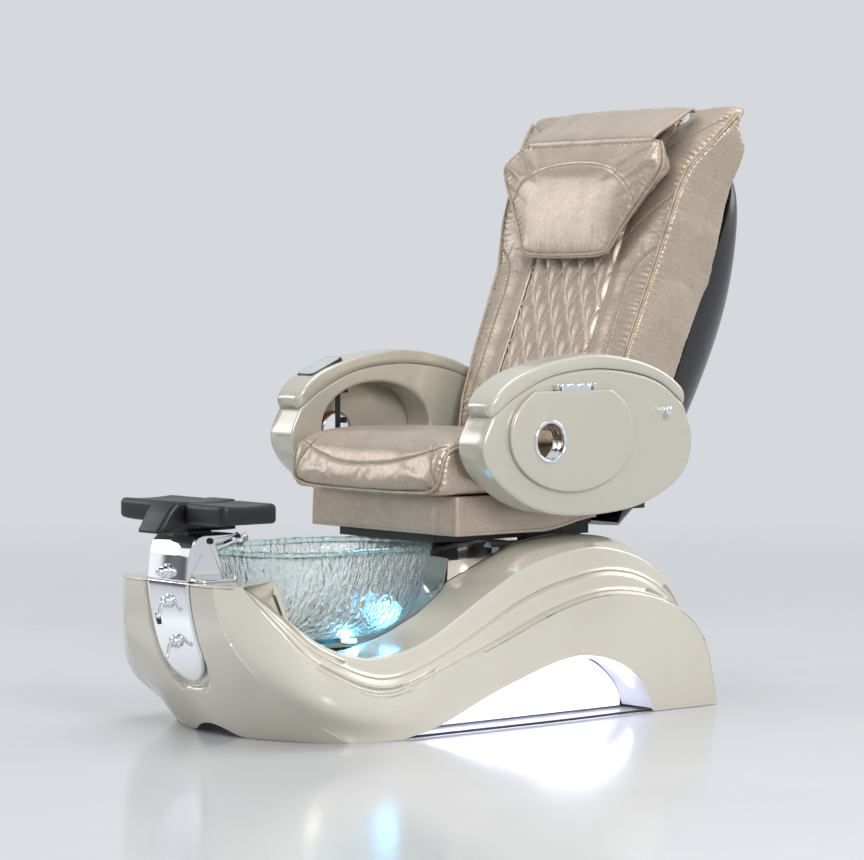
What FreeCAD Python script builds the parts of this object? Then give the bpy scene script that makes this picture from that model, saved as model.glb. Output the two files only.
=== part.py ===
import FreeCAD, Part
import math
import os

# Pedicure spa chair: a wave-shaped tub base with a glass foot bowl, a chrome faucet column with a footrest,
# and a massage seat on a sliding carriage with a reclining back, lifting armrests and flip-out side trays.
# Millimetres.  +X is the sitter's left, +Y is behind the chair, +Z is up, the floor is z = 0.

V = FreeCAD.Vector
SIZES = {
    # base
    "base_half_width": 356, "base_rear": 720, "nose_top": -765, "nose_rake": 135, "deck_level": 350,
    "step_inset": 30, "shell_wall": 12, "pan_thick": 8, "cove_depth_x": 232, "cove_panel_thick": 6,
    # bowl
    "bowl_centre_y": -335, "bowl_half_width": 200, "bowl_half_length": 265, "bowl_rim": 400,
    "bowl_bottom": 196, "glass_thick": 9,
    # faucet column and footrest
    "panel_half_width": 78, "panel_bottom": 122, "panel_thick": 9, "housing_top": 455,
    "footrest_pivot_y": -700, "footrest_pivot_z": 440, "pad_half_width": 198, "pad_bottom": 478,
    "pad_thick": 49, "knob_radius": 13,
    # seat
    "rail_spacing": 160, "rail_level": 394, "carriage_level": 414, "tube_side": 25,
    "seat_half_width": 294, "seat_front": -212, "seat_rear": 262, "seat_bottom": 525, "seat_top": 660,
    "seat_pan_thick": 18, "skirt_half_width": 272, "skirt_front": -154, "skirt_bottom": 432,
    # back
    "recline_y": 360, "recline_z": 490, "back_lean": 23, "shaft_radius": 10, "running_gap": 0.05,
    "back_front": -137, "bolster_front": -150,
    # arms
    "arm_inner": 308, "arm_outer": 398, "arm_pivot_y": 362, "arm_pivot_z": 612, "arm_pin_radius": 9,
    "tray_hinge_x": 407, "tray_hinge_z": 774, "tray_thick": 12, "cup_radius": 49,
    "hinge_pin_radius": 3, "hinge_pin_length": 122,
    # switch and control box
    "switch_wide": 12, "switch_deep": 11, "switch_high": 26, "box_long": 180, "box_wide": 90, "box_high": 130,
}

doc = FreeCAD.newDocument("PedicureChair")
sheet = doc.addObject("Spreadsheet::Sheet", "Sizes")
for row, (alias, value) in enumerate(SIZES.items(), start=1):
    sheet.set(f"A{row}", alias)
    sheet.set(f"B{row}", str(value))
    sheet.setAlias(f"B{row}", alias)
doc.recompute()
nodes = []


def size(alias):
    return float(getattr(sheet, alias))


def keep(obj, label):
    """Register an object as one sub-part of the chair."""
    obj.Label = label
    nodes.append(obj)
    return obj


def feature(label, shape, place=None):
    obj = doc.addObject("Part::Feature", label)
    obj.Shape = shape
    if place is not None:
        obj.Placement = place
    return keep(obj, label)


def primitive(kind, label, place, **sizes):
    """A Part primitive whose dimensions are expressions of the sheet."""
    obj = doc.addObject(kind, label)
    obj.Placement = place
    for name, expression in sizes.items():
        obj.setExpression(name, expression)
    return keep(obj, label)


def plane_of(body, role):
    return next(f for f in body.Origin.OriginFeatures if f.Role == role)


def padded(label, role, offset, draw, length, place=None):
    """A PartDesign body: one sketch on an origin plane, padded by an expression."""
    body = doc.addObject("PartDesign::Body", label)
    sketch = body.newObject("Sketcher::SketchObject", label + "_outline")
    sketch.AttachmentSupport = (plane_of(body, role), [""])
    sketch.MapMode = "FlatFace"
    sketch.AttachmentOffset = FreeCAD.Placement(V(0, 0, offset), FreeCAD.Rotation())
    draw(sketch)
    pad = body.newObject("PartDesign::Pad", label + "_pad")
    pad.Profile = sketch
    pad.setExpression("Length", str(length))
    body.Tip = pad
    if place is not None:
        body.Placement = place
    return keep(body, label)


def sketch_rounded(sketch, low, high, radius):
    """Rectangle with round corners in a sketch."""
    (x0, y0), (x1, y1) = low, high
    quarter = math.pi / 2
    sides = [((x0 + radius, y0), (x1 - radius, y0)), ((x1, y0 + radius), (x1, y1 - radius)),
             ((x1 - radius, y1), (x0 + radius, y1)), ((x0, y1 - radius), (x0, y0 + radius))]
    corners = [((x1 - radius, y0 + radius), 3), ((x1 - radius, y1 - radius), 0),
               ((x0 + radius, y1 - radius), 1), ((x0 + radius, y0 + radius), 2)]
    for (a, b), (centre, turn) in zip(sides, corners):
        sketch.addGeometry(Part.LineSegment(V(*a, 0), V(*b, 0)))
        circle = Part.Circle(V(*centre, 0), V(0, 0, 1), radius)
        sketch.addGeometry(Part.ArcOfCircle(circle, turn * quarter, (turn + 1) * quarter))


def spline(points):
    curve = Part.BSplineCurve()
    curve.interpolate([V(*p) for p in points])
    return curve.toShape()


def lines(points):
    return [Part.makeLine(V(*a), V(*b)) for a, b in zip(points, points[1:])]


def profile_x(edges_yz, x_low, x_high):
    """Solid between two x planes from edges drawn in the YZ plane at x = 0."""
    face = Part.Face(Part.Wire(Part.__sortEdges__(edges_yz)))
    face.translate(V(x_low, 0, 0))
    return face.extrude(V(x_high - x_low, 0, 0))


def side(points):
    """Points (y, z) of the side view as points in space."""
    return [(0, y, z) for y, z in points]


def mirrored(shape):
    return shape.mirror(V(0, 0, 0), V(1, 0, 0))


def superellipse(half_x, half_y, level, centre_y, power=2.6, count=20):
    """Closed rounded-rectangle outline in a horizontal plane."""
    points = []
    for step in range(count):
        angle = 2 * math.pi * step / count
        cos, sin = math.cos(angle), math.sin(angle)
        x = half_x * math.copysign(abs(cos) ** (2 / power), cos)
        y = half_y * math.copysign(abs(sin) ** (2 / power), sin)
        points.append(V(x, centre_y + y, level))
    curve = Part.BSplineCurve()
    curve.interpolate(points, PeriodicFlag=True)
    return Part.Wire(curve.toShape())


# ---------------------------------------------------------------- base shell
# The left half is built and then mirrored.
HULL_LEVELS = (-10, 30, 70, 120, 200, 280, 350, 430)
deck = size("deck_level")
FLOOR_END = 604
WAVE_OUTER = [(-722, deck), (-680, 262), (-600, 165), (-420, 105), (-150, 175), (80, 258), (262, 287),
              (440, 256), (556, 165), (FLOOR_END, 0)]
WAVE_MIDDLE = [(-704, deck), (-655, 278), (-580, 190), (-420, 127), (-235, 164), (0, 276), (150, 317),
               (270, 329), (390, 304), (500, 232), (575, 110), (FLOOR_END - 2, 0)]
WAVE_INNER = [(-685, deck), (-625, 280), (-545, 213), (-420, 181), (-250, 207), (-90, 292), (40, 358),
              (180, 389), (300, 387), (420, 350), (513, 280), (572, 150), (FLOOR_END - 4, 0)]
RIDGE = [(-110, 280), (-27, 372), (67, 402), (174, 415), (283, 410), (345, 396), (432, 352), (510, 270)]
REAR_DECK = [(-50, 200), (-50, 368), (110, 371), (110, 200), (-50, 200)]
ARCH = [(-373, 0), (-250, 28), (-60, 98), (90, 143), (190, 146), (290, 118), (362, 62), (392, 0)]


def fall_of(level):
    """Depth below the deck, as a share of the deck's height."""
    return 1 - min(max(level, 0), deck) / deck


def nose_y(level):
    return size("nose_top") + size("nose_rake") * fall_of(level) ** 1.7


def hull_outline(level, inset):
    """Half of a boat-shaped horizontal section: a rounded nose, shoulders, flat sides and a blunt rear."""
    fall = fall_of(level)
    wide = size("base_half_width") - inset
    rear = size("base_rear") - inset
    start = V(0, nose_y(level) + inset, level)
    end = V(0, rear, level)
    points = [start, V(165 + 160 * fall ** 1.5 - inset * 0.3, -756 + 256 * fall ** 2.4 + inset, level),
              V(276 + 69 * fall ** 2.2 - inset * 0.8, -688 + 268 * fall ** 4.6 + inset * 0.7, level),
              V(wide - 5, -280, level), V(wide, 100, level), V(wide - 8, 470, level),
              V(wide - 26, rear - 80, level), end]
    curve = Part.BSplineCurve()
    curve.interpolate(Points=points, InitialTangent=V(1, 0, 0), FinalTangent=V(-1, 0, 0))
    return Part.Wire([curve.toShape(), Part.makeLine(end, start)])


def half_hull(inset):
    return Part.makeLoft([hull_outline(level, inset) for level in HULL_LEVELS], True, False)


def whole(half):
    """Join a left half with its mirror image."""
    joined = half.fuse(mirrored(half)).removeSplitter()
    return max(joined.Solids, key=lambda solid: solid.Volume)


def under_wave(points, low=0):
    """Everything below a wave line, on the left half."""
    outline = side([points[0], (-900, points[0][1]), (-900, low), (points[-1][0], low)])
    if points[-1][1] > low:
        outline = outline + side([points[-1]])
    return profile_x([spline(side(points))] + lines(outline), 0, 500)


def arch_solid(x_low, x_high):
    return profile_x([spline(side(ARCH))] + lines(side([ARCH[-1], ARCH[0]])), x_low, x_high)


def bowl_solid(grow, top):
    """Bowl body as a stack of rounded outlines; grow moves its wall outwards."""
    half_x, half_y = size("bowl_half_width"), size("bowl_half_length")
    bottom, rim = size("bowl_bottom"), size("bowl_rim")
    spread = ((0.0, 0.36, 0.42), (0.07, 0.56, 0.62), (0.27, 0.77, 0.82), (0.53, 0.89, 0.92), (1.0,
                                                                                              1.0, 1.0))
    wires = []
    for height, across, along in spread:
        level = bottom - grow + (rim - bottom + grow) * height
        wires.append(superellipse(half_x * across + grow, half_y * along + grow, level,
                                  size("bowl_centre_y")))
    if top > rim:
        wires.append(superellipse(half_x + grow, half_y + grow, top, size("bowl_centre_y")))
    return Part.makeLoft(wires, True, False)


def front_outline(half_width, bottom, top, y_low, y_high):
    """Upright strip with a half-round lower end, seen from the front."""
    centre = bottom + half_width
    arc = Part.Arc(V(-half_width, y_low, centre), V(0, y_low, bottom), V(half_width, y_low,
                                                                         centre)).toShape()
    rest = lines([(half_width, y_low, centre), (half_width, y_low, top), (-half_width, y_low, top),
                  (-half_width, y_low, centre)])
    face = Part.Face(Part.Wire(Part.__sortEdges__([arc] + rest)))
    return face.extrude(V(0, y_high - y_low, 0))


def nose_slab(front, back, low, high):
    """Curved slab that follows the nose, between two depths behind its surface."""
    levels = [low + (high - low) * step / 4 for step in range(5)]
    face = [(nose_y(level) + front, level) for level in levels]
    rear = [(nose_y(level) + back, level) for level in levels]
    closing = lines(side([face[-1], rear[-1]])) + lines(side([rear[0], face[0]]))
    return profile_x([spline(side(face)), spline(side(rear))] + closing, -300, 300)


outer, stepped, inner = half_hull(0), half_hull(size("step_inset")), half_hull(2 * size("step_inset"))
above_floor = Part.makeBox(600, 1800, 600, V(0, -900, 0))
core = outer.common(under_wave(WAVE_OUTER)).fuse([stepped.common(under_wave(WAVE_MIDDLE)),
                                                  inner.common(under_wave(WAVE_INNER))])
# a crest along each side of the hump and a flat deck behind the bowl
crest = profile_x([spline(side(RIDGE))] + lines(side([RIDGE[-1], RIDGE[0]])), 196,
                  400).common(half_hull(82))
core = core.fuse([crest, profile_x(lines(side(REAR_DECK)), 0, 200)])
# the wave panel is a skin on the side, behind a slanted line down the front face
fascia_wedge = Part.Face(Part.makePolygon([V(0, -900, -20), V(325, -900, -20), V(165, -900, deck),
                                           V(165, -900, 500), V(0, -900, 500), V(0, -900, -20)]))
fascia_wedge = fascia_wedge.extrude(V(0, 420, 0))
arch_void = arch_solid(0, 500)
skin_solid = outer.common(under_wave(WAVE_OUTER)).cut(half_hull(size("shell_wall")))
skin_solid = skin_solid.cut(fascia_wedge).cut(arch_void).cut(Part.makeBox(150, 1800, 600, V(0, -900, -20)))
wave_panel = max(skin_solid.Solids, key=lambda solid: solid.Volume)
core = core.cut(wave_panel)
core = core.cut(arch_solid(size("cove_depth_x"), 500))
# the chrome strip's recess, a shallow arch under the nose, and the machine space, which is open to the floor
recess = front_outline(size("panel_half_width") + 14, size("panel_bottom") - 16, deck + 20, -850, -500)
core = core.cut(recess.common(nose_slab(-60, 16, 60, deck + 10)))
core = core.cut(Part.makeCylinder(150, 200, V(0, -760, -124), V(0, 1, 0)))
core = core.cut(bowl_solid(14, 500))
room_top = [(y, z - 45) for y, z in WAVE_INNER[3:-1]] + [(564, 30)]
room = profile_x([spline(side(room_top))] + lines(side([room_top[-1], (564, -1), (-420, -1),
                                                        room_top[0]])), 0, 200)
core = core.cut(room.cut(bowl_solid(24, 500)))
core = core.cut(Part.makeCylinder(24, 200, V(0, size("bowl_centre_y"), 60)))
jet_level = 300
jet_wall = size("bowl_centre_y") + size("bowl_half_length") * 0.9
core = core.cut(Part.makeCylinder(31, 90, V(0, jet_wall - 20, jet_level), V(0, 1, 0)))
core = core.cut(nose_slab(10, 30, 236, 288).common(Part.makeBox(64, 400, 300, V(0, -900, 100))))
core = core.cut(nose_slab(14, 66, 130, 346).common(Part.makeBox(28, 400, 300, V(0, -900, 100))))
core = core.common(above_floor)
core = max(core.Solids, key=lambda solid: solid.Volume)
feature("base_core", whole(core))
feature("wave_panel_left", wave_panel.common(above_floor))
feature("wave_panel_right", mirrored(wave_panel.common(above_floor)))


def pan_outline(sketch):
    sketch_rounded(sketch, (-199, -418), (199, 562), 6)


padded("base_pan", "XY_Plane", 0, pan_outline, "Sizes.pan_thick")
cove_x = size("cove_depth_x")
light_panel = arch_solid(cove_x, cove_x + size("cove_panel_thick")).common(
    Part.makeBox(200, 740, 150, V(200, -356, 4)))
feature("light_panel_left", light_panel)
feature("light_panel_right", mirrored(light_panel))


def arch_band(x_low, x_high, thick):
    """Thin strip under the arch line."""
    upper = [(y, z - 0.5) for y, z in ARCH[1:-1]]
    lower = [(y, z - thick) for y, z in ARCH[1:-1]]
    edges = [spline(side(upper)), spline(side(lower))] + lines(side([upper[0], lower[0]]))
    return profile_x(edges + lines(side([upper[-1], lower[-1]])), x_low, x_high)


strip = arch_band(290, 302, 6)
feature("led_strips", Part.makeCompound([strip, mirrored(strip)]))

# ---------------------------------------------------------------- bowl and its fittings
glass = size("glass_thick")
bowl_y = size("bowl_centre_y")
bowl_floor = size("bowl_bottom")
up, back = V(0, 0, 1), V(0, 1, 0)
bowl = bowl_solid(0, 0).cut(bowl_solid(-glass, 500))
bowl = bowl.cut([Part.makeCylinder(22, 40, V(0, bowl_y, bowl_floor - 15)),
                 Part.makeCylinder(29, 90, V(0, jet_wall - 60, jet_level), back)])
feature("glass_bowl", bowl)
gasket = Part.makeCylinder(46, 12, V(0, bowl_y, bowl_floor - 12))
feature("bowl_gasket", gasket.cut(Part.makeCylinder(23, 12, V(0, bowl_y, bowl_floor - 12))))
drain = Part.makeCylinder(21.5, 16, V(0, bowl_y, bowl_floor - 4)).fuse(
    [Part.makeCylinder(27, 4, V(0, bowl_y, bowl_floor + glass + 0.5)),
     Part.makeCylinder(18, 90, V(0, bowl_y, bowl_floor - 94))])
for step in range(6):
    angle = math.radians(60 * step)
    drain = drain.cut(Part.makeCylinder(3, 20, V(13 * math.cos(angle),
                                                 bowl_y + 13 * math.sin(angle), bowl_floor + 2)))
feature("drain_fitting", drain)
jet = Part.makeCylinder(28.8, 78, V(0, jet_wall - 28, jet_level), back).fuse(
    Part.makeCylinder(36, 5, V(0, jet_wall - 33, jet_level), back))
jet = jet.cut(Part.makeCylinder(24, 70, V(0, jet_wall - 35, jet_level), back))
jet = jet.cut(Part.makeCylinder(4.05, 90, V(0, jet_wall - 25, jet_level), back))
feature("jet_housing", jet)
impeller = Part.makeCylinder(4, 22, V(0, jet_wall + 24, jet_level), back).fuse(
    Part.makeCylinder(9, 12, V(0, jet_wall + 14, jet_level), back))
for step in range(5):
    blade = Part.makeBox(3, 9, 19, V(-1.5, jet_wall + 15, jet_level + 3))
    blade.rotate(V(0, jet_wall, jet_level), back, 72 * step)
    impeller = impeller.fuse(blade)
feature("jet_impeller", impeller)
light = Part.makeCylinder(16, 5, V(110, bowl_y, bowl_floor - 1))
feature("bowl_light", light.common(Part.makeBox(60, 60, 60, V(80, bowl_y - 30, bowl_floor - 6))))

# ---------------------------------------------------------------- chrome column, valves and sprayer
column_half = size("panel_half_width")
strip_solid = front_outline(column_half, size("panel_bottom"), deck - 0.5, -850, -500)
strip_solid = strip_solid.common(nose_slab(4, 4 + size("panel_thick"), 90, deck - 0.5))
VALVES = {"diverter_knob": 372, "hot_handle": 305, "cold_handle": 215}
forward = V(0, -1, 0)
stem_radius = 6
for level in list(VALVES.values())[1:]:
    bore = Part.makeCylinder(stem_radius + size("running_gap"), 60, V(0, nose_y(level) + 40, level),
                             forward)
    strip_solid = strip_solid.cut(bore)
switch_level = 262
strip_solid = strip_solid.cut(Part.makeBox(13, 60, 27, V(-58, nose_y(switch_level) - 20,
                                                         switch_level - 13.5)))
feature("faucet_panel", max(strip_solid.Solids, key=lambda solid: solid.Volume))

housing_front = nose_y(deck) + 4
HOUSING_TOP = size("housing_top")
outline = [spline(side([(housing_front, deck + 2), (housing_front + 6, 410), (housing_front + 16, 438),
                        (housing_front + 44, HOUSING_TOP)]))]
outline += lines(side([(housing_front + 44, HOUSING_TOP), (-632, HOUSING_TOP), (-632, 446), (-684, 434),
                       (-668, 392), (-660, deck + 2), (housing_front, deck + 2)]))
housing = profile_x(outline, -column_half, column_half)
inside = [(housing_front + 5, deck + 1), (housing_front + 11, 408), (housing_front + 22, 433),
          (housing_front + 46, HOUSING_TOP - 5), (-690, HOUSING_TOP - 5), (-690, 433), (-674,
                  392), (-666, deck + 1)]
hollow = profile_x([spline(side(inside[:4]))] + lines(side(inside[3:] + inside[:1])),
                   -column_half + 5, column_half - 5)
housing = housing.cut(hollow)
housing = housing.cut(Part.makeBox(104, 126, 40, V(-52, housing_front - 20, 420)))
pivot_y, pivot_z = size("footrest_pivot_y"), size("footrest_pivot_z")
PIVOT_PIN = 7
housing = housing.cut(Part.makeCylinder(PIVOT_PIN + size("running_gap"), 200, V(-100, pivot_y,
                                                                                pivot_z), V(1, 0, 0)))
knob_bore = Part.makeCylinder(stem_radius + size("running_gap"), 40, V(0, housing_front - 20,
                                                                       VALVES["diverter_knob"]), back)
housing = housing.cut(knob_bore)
flange = Part.makeBox(212, 116, 6, V(-106, housing_front + 14, deck)).cut(
    Part.makeBox(2 * column_half + 0.6, 160, 10, V(-column_half - 0.3, -659.6 - 160, deck - 2)))
sprayer_axis = V(0, 0.966, 0.259)
sprayer_start = V(38, -700, 408)
sprayer_bore = Part.makeCylinder(8.3, 120, sprayer_start, sprayer_axis)
housing = housing.cut(sprayer_bore)
feature("footrest_housing", housing)
feature("housing_flange", flange)
valves = []
for name, level in VALVES.items():
    front = housing_front + 12 if name == "diverter_knob" else nose_y(level) + 21
    body = Part.makeCylinder(15, 26, V(0, front + 0.5, level), back)
    valves.append(body.cut(Part.makeCylinder(stem_radius + size("running_gap"), 20, V(0, front - 2,
                                                                                      level), back)))
feature("valve_bodies", Part.makeCompound(valves))


def lever(name, level, depth, blade_out):
    """Valve handle: a stem through the column, a round boss and a lever blade."""
    front = housing_front if name == "diverter_knob" else nose_y(level) + 4
    stem = Part.makeCylinder(stem_radius, depth + 20, V(0, front - 16, level), back)
    boss = Part.makeCylinder(size("knob_radius"), 18, V(0, front - 29, level), back)
    boss = boss.fuse([stem, Part.makeCylinder(size("knob_radius") + 3, 3, V(0, front - 12, level), back)])
    if blade_out:
        blade = Part.makeBox(9, 8, blade_out, V(-4.5, front - 28, level - blade_out))
        boss = boss.fuse(blade)
    feature(name, boss)


lever("diverter_knob", VALVES["diverter_knob"], 14, 0)
lever("hot_handle", VALVES["hot_handle"], 18, 30)
lever("cold_handle", VALVES["cold_handle"], 18, 30)
switch_y = nose_y(switch_level)
primitive("Part::Box", "power_switch",
          FreeCAD.Placement(V(-57.5, switch_y + 0.5, switch_level - size("switch_high") / 2),
                            FreeCAD.Rotation()),
          Length="Sizes.switch_wide", Width="Sizes.switch_deep", Height="Sizes.switch_high")
sprayer_unit = sprayer_axis.normalize()
handle_start = sprayer_start + sprayer_unit * 30
sprayer = Part.makeCylinder(8.2, 74, handle_start, sprayer_unit)
sprayer = sprayer.fuse([Part.makeSphere(15, handle_start + sprayer_unit * 84),
                        Part.makeCylinder(16.5, 4, handle_start + sprayer_unit * 80, sprayer_unit),
                        Part.makeCylinder(12, 8, handle_start + sprayer_unit * 92, sprayer_unit)])
feature("hand_sprayer", sprayer)

# ---------------------------------------------------------------- footrest
pad_half, pad_low, pad_thick = size("pad_half_width"), size("pad_bottom"), size("pad_thick")


for name, sign in (("footrest_pad_left", 1), ("footrest_pad_right", -1)):
    left_pad = Part.makeBox(pad_half - 48, 148, pad_thick, V(48, -752, pad_low))
    left_pad = left_pad.makeFillet(30,
            [e for e in left_pad.Edges if abs(e.Vertexes[0].Z - e.Vertexes[-1].Z) > 10
                                        and e.BoundBox.XMin > 100])
    dish = Part.makeCylinder(900, 200, V(120, -780, pad_low + pad_thick + 896), back)
    left_pad = left_pad.cut(dish)
    feature(name, left_pad if sign > 0 else mirrored(left_pad))
centre_side = side([(-812, 460), (-770, pad_low + pad_thick), (-604, pad_low + pad_thick), (-604,
        460), (-812, 460)])
feature("footrest_centre", profile_x(lines(centre_side), -47.8, 47.8))
neck = profile_x(lines(side([(-735, 459.8), (-720, 430), (-680, 430), (-668, 459.8), (-735,
                                                                                      459.8)])), -40, 40)
neck = neck.fuse(Part.makeCylinder(PIVOT_PIN, 2 * column_half + 8, V(-column_half - 4, pivot_y,
                                                                     pivot_z), V(1, 0, 0)))
feature("footrest_bracket", neck)

# ---------------------------------------------------------------- carriage under the seat
rail_x, rail_z = size("rail_spacing"), size("rail_level")
carriage_z, tube = size("carriage_level"), size("tube_side")
rails = []
for sign in (-1, 1):
    rails.append(Part.makeBox(26, 320, 6, V(sign * rail_x - 13, 36, rail_z)))
    rails.append(Part.makeBox(12, 320, 6, V(sign * rail_x - 6, 36, rail_z + 6)))
    for y in (60, 310):
        rails.append(Part.makeBox(26, 30, 30, V(sign * rail_x - 13, y, rail_z - 29.9)))
rail_bodies = Part.makeCompound([rails[i].fuse([rails[i + 1], rails[i + 2], rails[i + 3]]) for i in (0, 4)])
feature("slide_rails", rail_bodies.cut(doc.getObject("base_core").Shape))

frame = []
for sign in (-1, 1):
    centre = sign * rail_x
    frame.append(Part.makeBox(tube, 482, tube, V(centre - tube / 2, -140, carriage_z)))
    for y in (140, 255):
        block = Part.makeBox(30, 60, 20, V(centre - 15, y, carriage_z - 13))
        frame.append(block.cut(Part.makeBox(12.4, 60, 8, V(centre - 6.2, y, carriage_z - 14))))
    for y in (-130, 220):
        frame.append(Part.makeBox(24, 24, 504 - carriage_z - tube, V(centre - 12, y, carriage_z + tube)))
    frame.append(Part.makeBox(8, 40, 70, V(sign * 168 - 4, 310, carriage_z + tube - 1)))
    frame.append(Part.makeCylinder(22, 8, V(sign * 168 - 4, size("recline_y"), size("recline_z")),
                                   V(1, 0, 0)))
    plate_x = 297.5 if sign > 0 else -305.5
    frame.append(Part.makeBox(8, 84, 156, V(plate_x, 316, 478)))
for y in (-140, 100, 318):
    frame.append(Part.makeBox(2 * rail_x + 20, tube, tube, V(-rail_x - 10, y, carriage_z)))
frame.append(Part.makeBox(2 * 305, tube, tube, V(-305, 317, 478)))
frame = frame[0].fuse(frame[1:])
recline_y, recline_z = size("recline_y"), size("recline_z")
shaft, gap = size("shaft_radius"), size("running_gap")
arm_y, arm_z, arm_pin = size("arm_pivot_y"), size("arm_pivot_z"), size("arm_pin_radius")
frame = frame.cut(Part.makeCylinder(shaft + gap, 400, V(-200, recline_y, recline_z), V(1, 0, 0)))
for sign in (-1, 1):
    frame = frame.fuse(Part.makeCylinder(arm_pin, 44, V(sign * 300, arm_y, arm_z), V(sign, 0, 0)))
feature("seat_carriage", frame)


def seat_pan_outline(sketch):
    sketch_rounded(sketch, (-262, -142), (262, 255), 30)


padded("seat_pan", "XY_Plane", 504.2, seat_pan_outline, "Sizes.seat_pan_thick")
half_seat, seat_low = size("seat_half_width"), size("seat_bottom")
cushion_profile = [spline(side([(size("seat_front") + 14, seat_low), (size("seat_front"), 570),
                                (size("seat_front") + 12, 628), (-150, 652), (20,
                                        size("seat_top")), (258, 650)]))]
cushion_profile += lines(side([(258, 650), (size("seat_rear"), seat_low), (size("seat_front") + 14,
                                                                           seat_low)]))
cushion = profile_x(cushion_profile, -half_seat, half_seat)
feature("seat_cushion", cushion)


def skirt_ring(half, front, rear, low, high):
    return Part.makeBox(2 * half, rear - front, high - low, V(-half, front, low))


skirt_low = size("skirt_bottom")
skirt_half, skirt_front = size("skirt_half_width"), size("skirt_front")
skirt = skirt_ring(skirt_half, skirt_front, 280, skirt_low, 524).cut(
    skirt_ring(skirt_half - 7, skirt_front + 7, 300, skirt_low - 5, 530))
lift = Part.Face(Part.makePolygon([V(-300, -160, 425), V(-300, 300, 425), V(-300, 300, 459), V(-300,
                                                                                               -160, 432),
                                   V(-300, -160, 425)])).extrude(V(600, 0, 0))
feature("seat_skirt", skirt.cut(lift))
motor = Part.makeCylinder(26, 150, V(0, 130, 470), back).fuse(Part.makeBox(60, 60, 44, V(-30, 70, 448)))
feature("slide_motor", motor.fuse(Part.makeBox(40, 30, 36, V(-20, 70, 420))))

# ---------------------------------------------------------------- reclining back
# Modelled upright with its recline axis on the X axis, then leaned back about it.
lean = FreeCAD.Rotation(V(1, 0, 0), -size("back_lean"))
BACK = FreeCAD.Placement(V(0, recline_y, recline_z), lean)
back_front, bolster_front = size("back_front"), size("bolster_front")


def back_section(level, front, depth, half):
    """Rounded tub section of the rear shell, open towards the sitter."""
    points = []
    for step in range(9):
        angle = math.pi * step / 8
        x = half * math.copysign(abs(math.cos(angle)) ** 0.75, math.cos(angle))
        points.append(V(x, front + depth * math.sin(angle) ** 0.75, level))
    curve = Part.BSplineCurve()
    curve.interpolate(points)
    return Part.Wire([curve.toShape(), Part.makeLine(points[-1], points[0])])


SHELL_STATIONS = ((-36, 46, 34, 226), (60, 46, 100, 246), (230, 46, 150, 266), (420, 46, 178, 272),
                  (570, 46, 176, 276), (700, 46, 140, 278), (800, 46, 86, 272), (866, 30, 40, 256))
shell = Part.makeLoft([back_section(*station) for station in SHELL_STATIONS], True, False)
hollow = Part.makeLoft([back_section(level + (14 if level < 0 else 0), front - 2, depth - 4, half - 8)
                        for level, front, depth, half in SHELL_STATIONS[:-1]], True, False)
feature("back_shell", shell.cut(hollow), BACK)
tubes = [Part.makeBox(18, 30, 800, V(sign * 148 - 9, -14, 0)) for sign in (-1, 1)]
tubes += [Part.makeBox(320, 24, 24, V(-160, -11, level)) for level in (70, 770)]
tubes += [Part.makeCylinder(shaft, 356, V(-178, 0, 0), V(1, 0, 0))]
feature("back_frame", tubes[0].fuse(tubes[1:]), BACK)
centre_profile = [spline(side([(back_front + 30, 118), (back_front, 170), (back_front - 4, 500),
                               (back_front - 4, 760),
                               (back_front + 26, 880), (-78, 968)]))]
centre_profile += lines(side([(-78, 968), (-36, 925), (-24, 850), (-24, 790), (-62, 750), (-62, 118),
                              (back_front + 30, 118)]))
feature("back_cushion", profile_x(centre_profile, -150, 150), BACK)
bolster_side = [spline(side([(-90, 120), (bolster_front + 12, 200), (bolster_front + 12, 520),
                             (bolster_front, 700), (bolster_front, 800), (-120, 895), (-86, 985)]))]
bolster_side += lines(side([(-86, 985), (-38, 925), (-22, 850), (16, 690), (40, 560), (40, 120),
                            (-90, 120)]))
left_bolster = profile_x(bolster_side, 170, 380)
front_view = Part.Face(Part.Wire(Part.__sortEdges__(
    [spline([(250, -400, 120), (273, -400, 330), (281, -400, 546), (302, -400, 700), (314, -400, 806),
             (352, -400, 885), (372, -400, 990)])]
    + lines([(372, -400, 990), (150.5, -400, 990), (150.5, -400, 120), (250, -400, 120)]))))
left_bolster = left_bolster.fuse(profile_x(bolster_side, 150.5, 171).common(
    Part.makeBox(30, 160, 1200, V(150, -260, 0)))).common(front_view.extrude(V(0, 800, 0)))
left_bolster = max(left_bolster.Solids, key=lambda solid: solid.Volume)
feature("back_bolster_left", left_bolster, BACK)
feature("back_bolster_right", mirrored(left_bolster), BACK)
pillow_front = Part.Face(Part.Wire(Part.__sortEdges__(lines(
    [(-135, -400, 566), (135, -400, 566), (200, -400, 690), (272, -400, 800), (240, -400, 850),
     (-240, -400, 850), (-272, -400, 800), (-200, -400, 690), (-135, -400, 566)]))))
pillow_back = bolster_front - 18
pillow_side = lines(side([(pillow_back, 566), (pillow_back - 14, 566), (pillow_back - 58, 790),
                          (pillow_back - 36, 850),
                          (pillow_back, 850), (pillow_back, 566)]))
feature("head_pillow", profile_x(pillow_side, -300, 300).common(pillow_front.extrude(V(0, 400, 0))), BACK)
flap = profile_x(lines(side([(pillow_back - 30, 850.3), (-120, 965), (-112, 970), (pillow_back, 850.3),
                             (pillow_back - 30, 850.3)])), -225, 225)
flap = flap.fuse(Part.makeCylinder(4, 450, V(-225, -116, 968), V(1, 0, 0)))
feature("pillow_flap", flap, BACK)

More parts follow.
